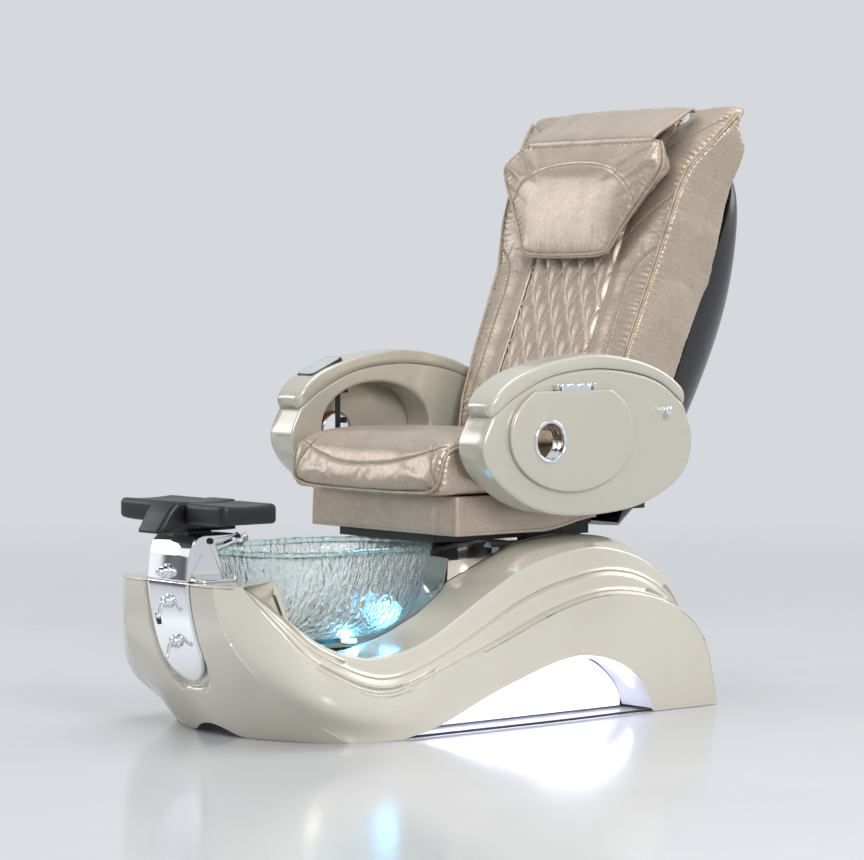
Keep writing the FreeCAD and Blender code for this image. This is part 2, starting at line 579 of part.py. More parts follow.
ROLLER_LEVEL, ROLLER_X = 300, 62
trolley = Part.makeBox(2 * 138, 12, 90, V(-138, -6, ROLLER_LEVEL - 45)).fuse(
    [Part.makeCylinder(6, 28, V(sign * ROLLER_X, -6.5, ROLLER_LEVEL), forward) for sign in (-1, 1)])
feature("massage_carriage", trolley, BACK)
for name, sign in (("kneading_roller_left", 1), ("kneading_roller_right", -1)):
    arm = Part.makeBox(18, 10, 70, V(sign * ROLLER_X - 9, -30, ROLLER_LEVEL - 35))
    wheels = [Part.makeSphere(17, V(sign * ROLLER_X, -38, ROLLER_LEVEL + dz)) for dz in (-32, 32)]
    roller = arm.fuse([Part.makeCylinder(14, 14, V(sign * ROLLER_X, -20, ROLLER_LEVEL), forward)] + wheels)
    bore = Part.makeCylinder(6 + gap, 90, V(sign * ROLLER_X, 10, ROLLER_LEVEL), forward)
    feature(name, roller.cut(bore), BACK)

# ---------------------------------------------------------------- armrests and side trays
arm_in, arm_out = size("arm_inner"), size("arm_outer")
ARM_SEAM = [(-153, 706), (-100, 744), (-20, 783), (60, 804), (170, 812), (285, 800), (370, 774), (441, 724)]
ARM_LOWER = [(441, 724), (468, 645), (444, 568), (361, 514), (249, 484), (78, 478), (-44, 506), (-146, 573),
             (-180, 641), (-153, 706)]
CAP_TOP = [(-163, 736), (-112, 781), (-45, 811), (60, 836), (170, 846), (290, 830), (375, 802),
           (428, 768), (450, 740)]
WINDOW = {"y": 82, "z": 662, "long": 168, "high": 106}


def arm_profile(x_low, x_high):
    return profile_x([spline(side(ARM_SEAM)), spline(side(ARM_LOWER))], x_low, x_high)


def window(grow, x_low, x_high):
    ellipse = Part.Ellipse(V(0, 0, 0), WINDOW["long"] + grow, WINDOW["high"] + grow)
    face = Part.Face(Part.Wire(ellipse.toShape()))
    face.Placement = FreeCAD.Placement(V(x_low, WINDOW["y"], WINDOW["z"]),
                                       FreeCAD.Rotation(V(0, 0, 1), V(1, 0, 0)))
    face = face.copy()
    if face.BoundBox.YLength < face.BoundBox.ZLength:
        face.rotate(V(x_low, WINDOW["y"], WINDOW["z"]), V(1, 0, 0), 90)
    return face.extrude(V(x_high - x_low, 0, 0))


tray_x, tray_z, tray_thick = size("tray_hinge_x"), size("tray_hinge_z"), size("tray_thick")
TRAY_FACE = arm_out + 1
EAR_SPANS = ((26, 34), (140, 148))
arm = arm_profile(arm_in, arm_out).cut(window(0, arm_in - 1, arm_out + 1))
arm = arm.cut(Part.makeCylinder(arm_pin + gap, 50, V(arm_in - 5, arm_y, arm_z), V(1, 0, 0)))
for low, high in EAR_SPANS:
    arm = arm.fuse(Part.makeBox(tray_x + 6 - arm_out + 2, high - low, 18, V(arm_out - 2, low, tray_z - 6)))
arm = arm.cut(Part.makeCylinder(3.02, 140, V(tray_x, 17, tray_z), back))
cap_edges = [spline(side(CAP_TOP)), spline(side([(y, z + 0.3) for y, z in ARM_SEAM]))]
cap_edges += lines(side([CAP_TOP[0], (ARM_SEAM[0][0], ARM_SEAM[0][1] + 0.3)]))
cap_edges += lines(side([CAP_TOP[-1], (ARM_SEAM[-1][0], ARM_SEAM[-1][1] + 0.3)]))
cap = profile_x(cap_edges, arm_in - 1, arm_out + 3)
tray = window(22, TRAY_FACE, TRAY_FACE + tray_thick)
tray = tray.cut(Part.makeBox(40, 500, 60, V(TRAY_FACE - 5, -200, tray_z - 9)))
knuckle = Part.makeCylinder(6, 90, V(tray_x, 42, tray_z), back)
tray = tray.fuse([knuckle, Part.makeBox(tray_thick - 2, 90, 20, V(TRAY_FACE, 42, tray_z - 22))])
tray = tray.cut(Part.makeCylinder(3 + gap, 140, V(tray_x, 17, tray_z), back))
CUP = (8, 650)
cup_radius = size("cup_radius")
tray = tray.cut(Part.makeCylinder(cup_radius - 6, 40, V(TRAY_FACE - 10, CUP[0], CUP[1]), V(1, 0, 0)))
ring = Part.makeCylinder(cup_radius, 2.5, V(TRAY_FACE + tray_thick, CUP[0], CUP[1]), V(1, 0, 0)).fuse(
    Part.makeCylinder(cup_radius - 6.2, 40, V(TRAY_FACE + tray_thick - 38, CUP[0], CUP[1]), V(1, 0, 0)))
ring = ring.cut(Part.makeCylinder(cup_radius - 9, 60, V(TRAY_FACE - 40, CUP[0], CUP[1]), V(1, 0, 0)))
hook = Part.makeCylinder(6, 4, V(arm_out, 368, 712), V(1, 0, 0)).fuse(
    [Part.makeCylinder(3.5, 22, V(arm_out, 368, 712), V(1, 0, 0)),
     Part.makeCylinder(10, 6, V(arm_out + 20, 368, 712), V(1, 0, 0))])
stay = Part.makeBox(26, 44, 6, V(arm_in + 30, -28, 742)).fuse(
    [Part.makeBox(3, 14, 90, V(arm_in + 40, -14, 655)), Part.makeCylinder(5, 9, V(arm_in + 37, -7,
                                                                                  662), V(1, 0, 0)),
     Part.makeBox(3, 34, 14, V(arm_in + 40, -14, 668)), Part.makeCylinder(5, 9, V(arm_in + 37, 13,
                                                                                  675), V(1, 0, 0))])
stay = stay.fuse(Part.makeBox(26, 44, 16, V(arm_in + 30, -28, 747.9)).common(window(14, arm_in, arm_out)))
stay = stay.cut(arm)
stay = max(stay.Solids, key=lambda solid: solid.Volume)
for node, shape in (("armrest", arm), ("arm_cap", cap), ("tray", tray), ("cup_ring", ring),
                    ("purse_hook", hook), ("tray_stay", stay)):
    feature(node + "_left", shape)
    feature(node + "_right", mirrored(shape))
along_back = FreeCAD.Rotation(up, back)
for node, pin_x in (("tray_hinge_pin_left", tray_x), ("tray_hinge_pin_right", -tray_x)):
    primitive("Part::Cylinder", node, FreeCAD.Placement(V(pin_x, 26, tray_z), along_back),
              Radius="Sizes.hinge_pin_radius", Height="Sizes.hinge_pin_length")
remote = profile_x(lines(side([(-104, 783), (-8, 826), (-11, 832), (-107, 789), (-104, 783)])),
                   -arm_out + 12, -arm_in - 12)
cap_right = mirrored(cap)
remote = remote.cut(cap_right)
feature("touch_remote", max(remote.Solids, key=lambda solid: solid.Volume))

# ---------------------------------------------------------------- machine space
feature("drain_pump", Part.makeCylinder(38, 110, V(90, 120, 60), V(1, 0, 0)).fuse(
    [Part.makeBox(100, 90, 22, V(92, 75, 8)), Part.makeCylinder(14, 40, V(130, 120, 90), up)]))
primitive("Part::Box", "control_box", FreeCAD.Placement(V(-190, 90, size("pan_thick")), FreeCAD.Rotation()),
          Length="Sizes.box_long", Width="Sizes.box_wide", Height="Sizes.box_high")

doc.recompute()
for obj in doc.Objects:
    if "Invalid" in obj.State or "Error" in obj.State:
        raise RuntimeError(f"{obj.Label} failed: {obj.State}")
os.makedirs("parts", exist_ok=True)
for obj in nodes:
    if obj.Shape.isNull() or not obj.Shape.isValid():
        raise RuntimeError(f"{obj.Label} has no valid shape")
for obj in nodes:
    obj.Shape.exportStep(f"parts/{obj.Label}.step")
print(len(nodes), "sub-parts")
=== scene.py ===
import math

import bmesh
import bpy
import numpy as np
from mathutils import Matrix, Vector
from mathutils.bvhtree import BVHTree
from mathutils.kdtree import KDTree


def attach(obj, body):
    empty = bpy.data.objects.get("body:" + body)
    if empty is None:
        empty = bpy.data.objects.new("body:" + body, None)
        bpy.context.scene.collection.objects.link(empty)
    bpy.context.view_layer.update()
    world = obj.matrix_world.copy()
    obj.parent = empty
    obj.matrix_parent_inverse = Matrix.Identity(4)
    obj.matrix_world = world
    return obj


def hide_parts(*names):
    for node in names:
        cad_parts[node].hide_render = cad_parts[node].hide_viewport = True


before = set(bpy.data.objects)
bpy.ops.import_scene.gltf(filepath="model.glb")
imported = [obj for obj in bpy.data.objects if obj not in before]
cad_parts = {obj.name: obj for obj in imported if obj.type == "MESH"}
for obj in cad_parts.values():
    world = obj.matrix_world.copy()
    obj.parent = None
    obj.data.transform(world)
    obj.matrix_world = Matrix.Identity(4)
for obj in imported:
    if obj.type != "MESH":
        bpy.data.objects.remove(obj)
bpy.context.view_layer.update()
scene = bpy.context.scene


# ------------------------------------------------------------------ mesh helpers
def run_lengths(line):
    """Distance along a line up to each of its points."""
    return np.concatenate([[0], np.cumsum(np.linalg.norm(np.diff(line, axis=0), axis=1))])


def add_mesh(name, verts, faces, material=None):
    """A smooth-shaded object in the scene from points and faces."""
    mesh = bpy.data.meshes.new(name)
    mesh.from_pydata([tuple(float(c) for c in v) for v in verts], [], faces)
    mesh.update()
    obj = bpy.data.objects.new(name, mesh)
    scene.collection.objects.link(obj)
    mesh.polygons.foreach_set("use_smooth", [True] * len(mesh.polygons))
    if material is not None:
        mesh.materials.append(material)
    return obj


def grid_faces(rows, cols, wrap_cols=False, wrap_rows=False):
    """Four-sided faces between the points of a grid, which may close on itself either way."""
    faces = []
    for r in range(rows if wrap_rows else rows - 1):
        for c in range(cols if wrap_cols else cols - 1):
            r2, c2 = (r + 1) % rows, (c + 1) % cols
            faces.append((r * cols + c, r * cols + c2, r2 * cols + c2, r2 * cols + c))
    return faces


def grid_mesh(name, points, material=None, wrap_cols=False, wrap_rows=False):
    """A surface from an array of shape (rows, columns, 3)."""
    points = np.asarray(points, float)
    rows, cols = points.shape[:2]
    return add_mesh(name, points.reshape(-1, 3), grid_faces(rows, cols, wrap_cols, wrap_rows), material)


JOIN_DISTANCE = .00005


def join(name, objects):
    """One object from several, welded where they meet."""
    bm = bmesh.new()
    materials = []
    for obj in objects:
        slots = []
        for material in obj.data.materials:
            if material not in materials:
                materials.append(material)
            slots.append(materials.index(material))
        start = len(bm.faces)
        mesh = obj.data.copy()
        mesh.transform(obj.matrix_world)
        bm.from_mesh(mesh)
        bm.faces.ensure_lookup_table()
        for face in bm.faces[start:]:
            face.material_index = slots[face.material_index] if slots else 0
        bpy.data.meshes.remove(mesh)
    bmesh.ops.remove_doubles(bm, verts=bm.verts, dist=JOIN_DISTANCE)
    mesh = bpy.data.meshes.new(name)
    bm.to_mesh(mesh)
    bm.free()
    for obj in objects:
        bpy.data.objects.remove(obj)
    result = bpy.data.objects.new(name, mesh)
    scene.collection.objects.link(result)
    for material in materials:
        mesh.materials.append(material)
    return result


def mirror_x(obj, name):
    """A copy of obj on the other side of the chair."""
    mesh = obj.data.copy()
    mesh.transform(Matrix.Scale(-1, 4, (1, 0, 0)))
    mesh.flip_normals()
    mesh.name = name
    copy = bpy.data.objects.new(name, mesh)
    scene.collection.objects.link(copy)
    return copy


def outward(obj):
    """Turn every face's normal to the outside."""
    bm = bmesh.new()
    bm.from_mesh(obj.data)
    bmesh.ops.recalc_face_normals(bm, faces=bm.faces)
    bm.to_mesh(obj.data)
    bm.free()
    return obj


def frame_of(axis):
    """Two directions square to an axis, and the axis itself."""
    axis = Vector(axis).normalized()
    side = axis.orthogonal().normalized()
    return np.array(side), np.array(axis.cross(side)), np.array(axis)


def lathe(name, profile, centre, axis, material=None, segments=40, closed=False):
    """Turned piece: profile is (radius, height) pairs along axis."""
    side, other, along = frame_of(axis)
    angles = np.linspace(0, 2 * math.pi, segments, endpoint=False)
    ring = np.cos(angles)[:, None] * side + np.sin(angles)[:, None] * other
    rows = [np.array(centre) + radius * ring + height * along for radius, height in profile]
    return outward(grid_mesh(name, rows, material, wrap_cols=True, wrap_rows=closed))


def smooth_path(points, count, closed=False):
    """Catmull-Rom line through the points."""
    points = np.asarray(points, float)
    if closed:
        knots = np.vstack([points[-1], points, points[0], points[1]])
    else:
        knots = np.vstack([2 * points[0] - points[1], points, 2 * points[-1] - points[-2]])
    pieces = len(knots) - 3
    out = []
    for t in np.linspace(0, pieces, count, endpoint=not closed):
        i = min(int(t), pieces - 1)
        f = t - i
        a, b, c, d = knots[i:i + 4]
        out.append(0.5 * (2 * b + (c - a) * f + (2 * a - 5 * b + 4 * c - d) * f * f
                          + (3 * b - a - 3 * c + d) * f ** 3))
    return np.array(out)


def tube_points(path, radius, segments=10, closed=False, flat=1.0):
    """Rings of points square to a path; where two points coincide the nearest direction is used."""
    path = np.asarray(path, float)
    count = len(path)
    if closed:
        tangent = np.roll(path, -1, 0) - np.roll(path, 1, 0)
    else:
        tangent = np.gradient(path, axis=0)
    length = np.linalg.norm(tangent, axis=1)
    moving = np.flatnonzero(length > 1e-9)
    nearest = moving[np.argmin(abs(np.arange(count)[:, None] - moving), axis=1)]
    tangent = tangent[nearest] / length[nearest, None]
    normal = np.array(Vector(tangent[0]).orthogonal().normalized())
    normals = []
    for i in range(count):
        normal = normal - tangent[i] * np.dot(normal, tangent[i])
        normal /= np.linalg.norm(normal) + 1e-12
        normals.append(normal.copy())
    normals = np.array(normals)
    binormals = np.cross(tangent, normals)
    if closed:
        twist = math.atan2(np.dot(binormals[0], normals[-1]), np.dot(normals[0], normals[-1]))
        turn = -np.linspace(0, 1, count) * twist
        normals, binormals = (np.cos(turn)[:, None] * normals - np.sin(turn)[:, None] * binormals,
                              np.sin(turn)[:, None] * normals + np.cos(turn)[:, None] * binormals)
    radii = np.broadcast_to(np.asarray(radius, float), (count,))
    angles = np.linspace(0, 2 * math.pi, segments, endpoint=False)
    return np.array([path[i] + radii[i] * (np.cos(angles)[:, None] * normals[i]
                                           + flat * np.sin(angles)[:, None] * binormals[i])
                     for i in range(count)])


def tube(name, path, radius, material=None, segments=10, closed=False, flat=1.0):
    """Round cord along a path, closed with flat ends when it is open."""
    rows = tube_points(path, radius, segments, closed, flat)
    if closed:
        return outward(grid_mesh(name, rows, material, wrap_cols=True, wrap_rows=True))
    first, last = rows[0].mean(0), rows[-1].mean(0)
    rows = np.concatenate([[np.repeat(first[None], segments, 0)], rows, [np.repeat(last[None], segments, 0)]])
    obj = grid_mesh(name, rows, material, wrap_cols=True)
    bm = bmesh.new()
    bm.from_mesh(obj.data)
    bmesh.ops.remove_doubles(bm, verts=bm.verts, dist=1e-6)
    bmesh.ops.recalc_face_normals(bm, faces=bm.faces)
    bm.to_mesh(obj.data)
    bm.free()
    return obj


def coords(obj):
    """Vertex positions as an array."""
    out = np.zeros(len(obj.data.vertices) * 3)
    obj.data.vertices.foreach_get("co", out)
    return out.reshape(-1, 3)


def normals_of(obj):
    """Vertex normals as an array."""
    out = np.zeros(len(obj.data.vertices) * 3)
    obj.data.vertices.foreach_get("normal", out)
    return out.reshape(-1, 3)


def set_coords(obj, values):
    obj.data.vertices.foreach_set("co", np.asarray(values, float).ravel())
    obj.data.update()


def apply_modifiers(obj):
    depsgraph = bpy.context.evaluated_depsgraph_get()
    mesh = bpy.data.meshes.new_from_object(obj.evaluated_get(depsgraph))
    obj.modifiers.clear()
    obj.data = mesh
    return obj


def subdivide(obj, levels=1):
    modifier = obj.modifiers.new("subdivide", "SUBSURF")
    modifier.levels = modifier.render_levels = levels
    return apply_modifiers(obj)


def shade_smooth(obj):
    obj.data.polygons.foreach_set("use_smooth", [True] * len(obj.data.polygons))
    return obj


def smoothstep(low, high, value):
    """0 at low, 1 at high, with an easy start and end."""
    t = np.clip((np.asarray(value, float) - low) / (high - low), 0, 1)
    return t * t * (3 - 2 * t)


NOISE_WAVES = 6


def noise3(points, scale, seed=0, octaves=3):
    """Smooth repeatable noise from sums of sine waves in fixed random directions."""
    local = np.random.default_rng(seed)
    total = np.zeros(len(points))
    for octave in range(octaves):
        for _ in range(NOISE_WAVES):
            direction = local.normal(size=3)
            direction /= np.linalg.norm(direction)
            phase = local.uniform(0, 2 * math.pi)
            total += np.sin(points @ direction * scale * 2 ** octave + phase) / 2 ** octave
    return total / NOISE_WAVES


def line_tree(line):
    """Search tree over a densely sampled line."""
    tree = KDTree(len(line))
    for i, p in enumerate(line):
        tree.insert(p, i)
    tree.balance()
    return tree


def near_line(points, line):
    """Distance of each point to a densely sampled line."""
    tree = line_tree(line)
    return np.array([tree.find(p)[2] for p in points])


def groove(obj, line, width, depth):
    """Press a stitched seam into a padded surface along a line."""
    points = coords(obj)
    box_low, box_high = line.min(0) - 4 * width, line.max(0) + 4 * width
    close = np.where(np.all((points > box_low) & (points < box_high), axis=1))[0]
    distance = near_line(points[close], line)
    points[close] -= normals_of(obj)[close] * (depth * np.exp(-(distance / width) ** 2))[:, None]
    set_coords(obj, points)


def on_surface(obj, line, direction, reach=0.12, lift=0.0):
    """Drop a line onto a surface along a direction."""
    tree = BVHTree.FromObject(obj, bpy.context.evaluated_depsgraph_get())
    direction = Vector(direction).normalized()
    out = []
    for p in line:
        hit, normal, _, _ = tree.ray_cast(Vector(p) - direction * reach, direction, 2 * reach)
        if hit is None:
            hit, normal, _, _ = tree.find_nearest(Vector(p))
        out.append(np.array(hit + normal * lift))
    return np.array(out)


def inflate(obj, voxel, pressure, frames, cap, pins=None):
    """Swell a closed shape like stuffed upholstery by cloth simulation; cap limits each point's way."""
    remesh = obj.modifiers.new("remesh", "REMESH")
    remesh.mode = "VOXEL"
    remesh.voxel_size = voxel
    remesh.use_smooth_shade = True
    apply_modifiers(obj)
    start = coords(obj)
    cloth = obj.modifiers.new("cloth", "CLOTH")
    settings = cloth.settings
    settings.quality = 5
    settings.mass = 0.3
    settings.tension_stiffness = settings.compression_stiffness = 25
    settings.shear_stiffness = 15
    settings.bending_stiffness = 2
    settings.use_pressure = True
    settings.uniform_pressure_force = pressure
    settings.effector_weights.gravity = 0
    if pins is not None:
        group = obj.vertex_groups.new(name="pins")
        for index in np.where(pins(start))[0]:
            group.add([int(index)], 1.0, "REPLACE")
        settings.vertex_group_mass = "pins"
    cloth.collision_settings.use_collision = False
    cloth.point_cache.frame_start = 1
    cloth.point_cache.frame_end = frames
    for frame_number in range(1, frames + 1):
        scene.frame_set(frame_number)
    apply_modifiers(obj)
    scene.frame_set(1)
    moved = coords(obj) - start
    length = np.linalg.norm(moved, axis=1)
    limit = cap * np.tanh(length / cap)
    set_coords(obj, start + moved * (limit / np.maximum(length, 1e-9))[:, None])
    return shade_smooth(subdivide(obj))


# ------------------------------------------------------------------ materials
class Nodes:
    """Short way to wire shader nodes."""

    def __init__(self, material):
        self.tree = material.node_tree
        self.shader = self.tree.nodes["Principled BSDF"]

    def add(self, kind, **values):
        node = self.tree.nodes.new(kind)
        for key, value in values.items():
            if hasattr(node, key):
                setattr(node, key, value)
            else:
                node.inputs[key.replace("_", " ")].default_value = value
        return node

    def link(self, source, target):
        self.tree.links.new(source, target)

    def noise(self, scale, detail=3, roughness=0.5):
        node = self.add("ShaderNodeTexNoise", Scale=scale, Detail=detail, Roughness=roughness)
        self.link(self.position(), node.inputs["Vector"])
        return node.outputs["Fac"]

    def voronoi(self, scale, feature="F1", output="Distance"):
        node = self.add("ShaderNodeTexVoronoi", feature=feature, Scale=scale)
        self.link(self.position(), node.inputs["Vector"])
        return node.outputs[output]

    def position(self):
        if not hasattr(self, "_position"):
            self._position = self.add("ShaderNodeTexCoord").outputs["Object"]
        return self._position

    def ramp(self, source, low, high, low_at=0.3, high_at=0.7):
        node = self.tree.nodes.new("ShaderNodeValToRGB")
        node.color_ramp.elements[0].position = low_at
        node.color_ramp.elements[1].position = high_at
        node.color_ramp.elements[0].color = tone(low)
        node.color_ramp.elements[1].color = tone(high)
        self.link(source, node.inputs["Fac"])
        return node.outputs["Color"]

    def mix(self, a, b, factor, blend="MIX"):
        """Mix two colours; the sockets are taken by number, as their names repeat for each data type."""
        node = self.add("ShaderNodeMix", data_type="RGBA", blend_type=blend)
        for value, socket in ((factor, node.inputs[0]), (a, node.inputs[6]), (b, node.inputs[7])):
            if isinstance(value, float):
                socket.default_value = value
            elif isinstance(value, tuple):
                socket.default_value = tone(value)
            else:
                self.link(value, socket)
        return node.outputs[2]

    def roughness(self, source, low, high):
        """Let the roughness wander between two values."""
        node = self.tree.nodes.new("ShaderNodeMapRange")
        node.inputs["To Min"].default_value = low
        node.inputs["To Max"].default_value = high
        self.link(source, node.inputs["Value"])
        self.out("Roughness", node.outputs["Result"])

    def bump(self, source, strength, distance, chain=None):
        node = self.add("ShaderNodeBump", Strength=strength, Distance=distance)
        self.link(source, node.inputs["Height"])
        if chain is not None:
            self.link(chain, node.inputs["Normal"])
        return node.outputs["Normal"]

    def out(self, name, source):
        self.link(source, self.shader.inputs[name])

    def set(self, **values):
        for key, value in values.items():
            socket = self.shader.inputs[key.replace("_", " ")]
            socket.default_value = tone(value) if isinstance(value, tuple) else value
        return self


def tone(colour):
    """A colour with an alpha of 1."""
    return (*colour, 1.0) if len(colour) == 3 else colour


def material(name):
    """A new node material and its wiring helper."""
    made = bpy.data.materials.new(name)
    made.use_nodes = True
    return made, Nodes(made)


def pearl_paint(name, colour, shade, roughness=0.26, metallic=0.3):
    """Pearl lacquer: fine flakes under a clear coat, a slow colour drift and faint orange peel."""
    made, n = material(name)
    n.set(Metallic=metallic, Coat_Weight=0.7, Coat_Roughness=0.06, Roughness=roughness)
    drift = n.ramp(n.noise(3.0, 2), shade, colour, 0.35, 0.65)
    flakes = n.ramp(n.voronoi(1400, output="Color"), (0.93, 0.93, 0.93), (1.05, 1.05, 1.05), 0.0, 1.0)
    n.out("Base Color", n.mix(drift, flakes, 1.0, "MULTIPLY"))
    n.roughness(n.noise(7, 2), roughness - 0.02, roughness + 0.03)
    n.out("Normal", n.bump(n.noise(260, 2), 0.02, 0.0004))
    return made


def leather(name, colour, shade, light):
    """Metallic upholstery leather: pebble grain, pores, mottled colour and worn high spots."""
    made, n = material(name)
    n.set(Metallic=0.5, Roughness=0.36, Sheen_Weight=0.1, Sheen_Roughness=0.4, Coat_Weight=0.22,
          Coat_Roughness=0.25)
    mottled = n.ramp(n.noise(11, 6, 0.62), shade, colour, 0.36, 0.62)
    fine = n.ramp(n.noise(140, 4, 0.6), (0.86, 0.86, 0.86), (1.1, 1.1, 1.1), 0.3, 0.7)
    base = n.mix(mottled, fine, 1.0, "MULTIPLY")
    worn = n.ramp(n.noise(26, 5, 0.7), (0.0, 0.0, 0.0), (0.25, 0.25, 0.25), 0.55, 0.8)
    n.out("Base Color", n.mix(base, light, worn))
    n.roughness(n.noise(60, 4), 0.28, 0.44)
    pebble = n.bump(n.voronoi(520), 0.16, 0.0012)
    creases = n.bump(n.noise(95, 5, 0.65), 0.2, 0.002, pebble)
    n.out("Normal", creases)
    return made


def piping_leather(name, colour, shade):
    """Leather rolled round a cord along the seams."""
    made, n = material(name)
    n.set(Metallic=0.2, Roughness=0.42, Sheen_Weight=0.2)
    n.out("Base Color", n.ramp(n.noise(45, 3), shade, colour))
    n.out("Normal", n.bump(n.noise(400, 3), 0.25, 0.0008))
    return made


def thread(name, colour):
    """Twisted sewing thread."""
    made, n = material(name)
    n.set(Roughness=0.7, Sheen_Weight=0.3)
    n.out("Base Color", n.ramp(n.noise(900, 2), tuple(c * 0.7 for c in colour), colour))
    n.out("Normal", n.bump(n.noise(2200, 2), 0.4, 0.0004))
    return made


def metal(name, colour, roughness, grain=0.02, streak=None):
    """Plated or brushed metal with faint wiping marks."""
    made, n = material(name)
    n.set(Metallic=1.0)
    n.out("Base Color", n.ramp(n.noise(6, 3), tuple(c * 0.94 for c in colour), colour))
    source = n.noise(30, 5)
    if streak is not None:
        mapping = n.add("ShaderNodeMapping")
        mapping.inputs["Scale"].default_value = streak
        n.link(n.position(), mapping.inputs["Vector"])
        streaks = n.add("ShaderNodeTexNoise", Scale=60, Detail=4)
        n.link(mapping.outputs["Vector"], streaks.inputs["Vector"])
        source = streaks.outputs["Fac"]
    n.roughness(source, max(roughness - 0.02, 0.02), roughness + 0.05)
    n.out("Normal", n.bump(source, grain, 0.0006))
    return made


def plastic(name, colour, roughness, grain=600, strength=0.08, coat=0.0):
    """Moulded or coated surface with a fine grain and uneven gloss."""
    made, n = material(name)
    n.set(Roughness=roughness, Coat_Weight=coat, Coat_Roughness=0.1)
    n.out("Base Color", n.ramp(n.noise(14, 3), tuple(c * 0.85 for c in colour), colour))
    n.roughness(n.noise(35, 4), roughness - 0.05, roughness + 0.08)
    n.out("Normal", n.bump(n.noise(grain, 3), strength, 0.0006))
    return made


def glow(name, colour, strength, edge=0.85):
    """A lit diffuser, a little uneven in brightness."""
    made, n = material(name)
    n.set(Roughness=0.4, Base_Color=colour, Emission_Strength=strength)
    n.out("Emission Color", n.ramp(n.noise(30, 2), tuple(c * edge for c in colour), colour))
    return made


def hammered_glass(name, colour=(0.95, 0.99, 0.98), roughness=0.03):
    """Clear cast glass with a streaky hammered surface."""
    made, n = material(name)
    n.set(Roughness=roughness, IOR=1.45, Transmission_Weight=0.94, Base_Color=colour)
    mapping = n.add("ShaderNodeMapping")
    mapping.inputs["Scale"].default_value = (1.0, 1.0, 0.30)
    n.link(n.position(), mapping.inputs["Vector"])
    cells = n.add("ShaderNodeTexVoronoi", feature="SMOOTH_F1", Scale=95)
    n.link(mapping.outputs["Vector"], cells.inputs["Vector"])
    waves = n.add("ShaderNodeTexNoise", Scale=75, Detail=2, Distortion=0.8)
    n.link(mapping.outputs["Vector"], waves.inputs["Vector"])
    n.out("Normal", n.bump(waves.outputs["Fac"], 0.9, 0.006, n.bump(cells.outputs["Distance"], 0.5, 0.004)))
    return made


PEARL = pearl_paint("pearl_shell_paint", (0.72, 0.675, 0.58), (0.66, 0.615, 0.52), 0.22)
ARM_PEARL = pearl_paint("pearl_arm_paint", (0.58, 0.55, 0.465), (0.54, 0.51, 0.43), 0.26)
LEATHER = leather("champagne_leather", (0.50, 0.41, 0.325), (0.445, 0.362, 0.285), (0.64, 0.545, 0.45))
PIPING = piping_leather("piping_leather", (0.45, 0.36, 0.27), (0.33, 0.26, 0.19))
THREAD = thread("seam_thread", (0.36, 0.28, 0.2))
# pale tan quilting thread: partly the thread's own colour, partly painted highlight along the diamond lines
QUILT_THREAD_AND_HIGHLIGHT = thread("quilt_thread_and_highlight", (0.74, 0.62, 0.49))
CHROME = metal("polished_chrome", (0.86, 0.87, 0.89), 0.05)
STEEL = metal("brushed_steel", (0.6, 0.6, 0.62), 0.3, 0.12, (1, 40, 40))
BRASS = metal("cast_brass", (0.72, 0.55, 0.28), 0.35, 0.2)
URETHANE = plastic("black_urethane", (0.007, 0.007, 0.008), 0.40, 900, 0.08)
BLACK_PAINT = plastic("black_powder_coat", (0.018, 0.018, 0.02), 0.5, 700, 0.15)
BLACK_SHELL = plastic("black_shell_plastic", (0.016, 0.016, 0.019), 0.3, 450, 0.05, 0.25)
GREY_PLASTIC = plastic("grey_moulding", (0.2, 0.2, 0.21), 0.5)
# near-black rubber of the bowl gasket; the same colour paints the shadow cord under the lit recess
RUBBER_AND_PAINTED_SHADOW = plastic("gasket_rubber_and_painted_shadow", (0.03, 0.03, 0.03), 0.75, 300, 0.2)
COPPER_PLASTIC = plastic("red_brown_ring", (0.2, 0.05, 0.03), 0.35)
PLY = plastic("sealed_plywood", (0.5, 0.36, 0.22), 0.6, 60, 0.2)
WHITE_PANEL = glow("lit_white_panel", (0.80, 0.80, 1.0), 0.75)
COVE_WHITE = plastic("cove_lining", (0.82, 0.82, 0.84), 0.35, 400, 0.03)
LED = glow("led_strip_light", (0.90, 0.90, 1.0), 6.0)
BLUE_LED = glow("bowl_led_light", (0.10, 0.60, 1.0), 160.0)
SCREEN = plastic("pale_touch_panel", (0.50, 0.54, 0.55), 0.12, 500, 0.02, 0.8)
GLASS = hammered_glass("hammered_glass")
GLASS_RIM = hammered_glass("green_glass_rim", (0.80, 0.97, 0.92), 0.05)

# ------------------------------------------------------------------ base shell
# heights and lengths in metres; y runs back from the chair's toe, z up from the floor
DECK = 0.350
FLOOR_END = 0.604
WAVE_OUTER = [(-.722, DECK), (-.680, .262), (-.600, .165), (-.420, .105), (-.150, .175), (.080, .258),
              (.262, .287),
              (.440, .256), (.556, .165), (FLOOR_END, 0)]
WAVE_MIDDLE = [(-.704, DECK), (-.655, .278), (-.580, .190), (-.420, .127), (-.235, .164), (0, .276),
               (.150, .317),
               (.270, .329), (.390, .304), (.500, .232), (.575, .110), (FLOOR_END - .002, 0)]
WAVE_INNER = [(-.685, DECK), (-.625, .280), (-.545, .213), (-.420, .181), (-.250, .207), (-.090, .292),
              (.040, .358),
              (.180, .389), (.300, .387), (.420, .350), (.513, .280), (.572, .150), (FLOOR_END - .004, 0)]
CREST = [(-.110, .312), (-.060, .345), (-.012, .378), (.067, .408), (.174, .421), (.283, .416), (.360, .402),
         (.440, .362), (.520, .275), (.576, .140), (.598, 0)]
ARCH = [(-.373, 0), (-.250, .028), (-.060, .098), (.090, .143), (.190, .146), (.290, .118), (.362, .062),
        (.392, 0)]
BOWL_Y = -.335
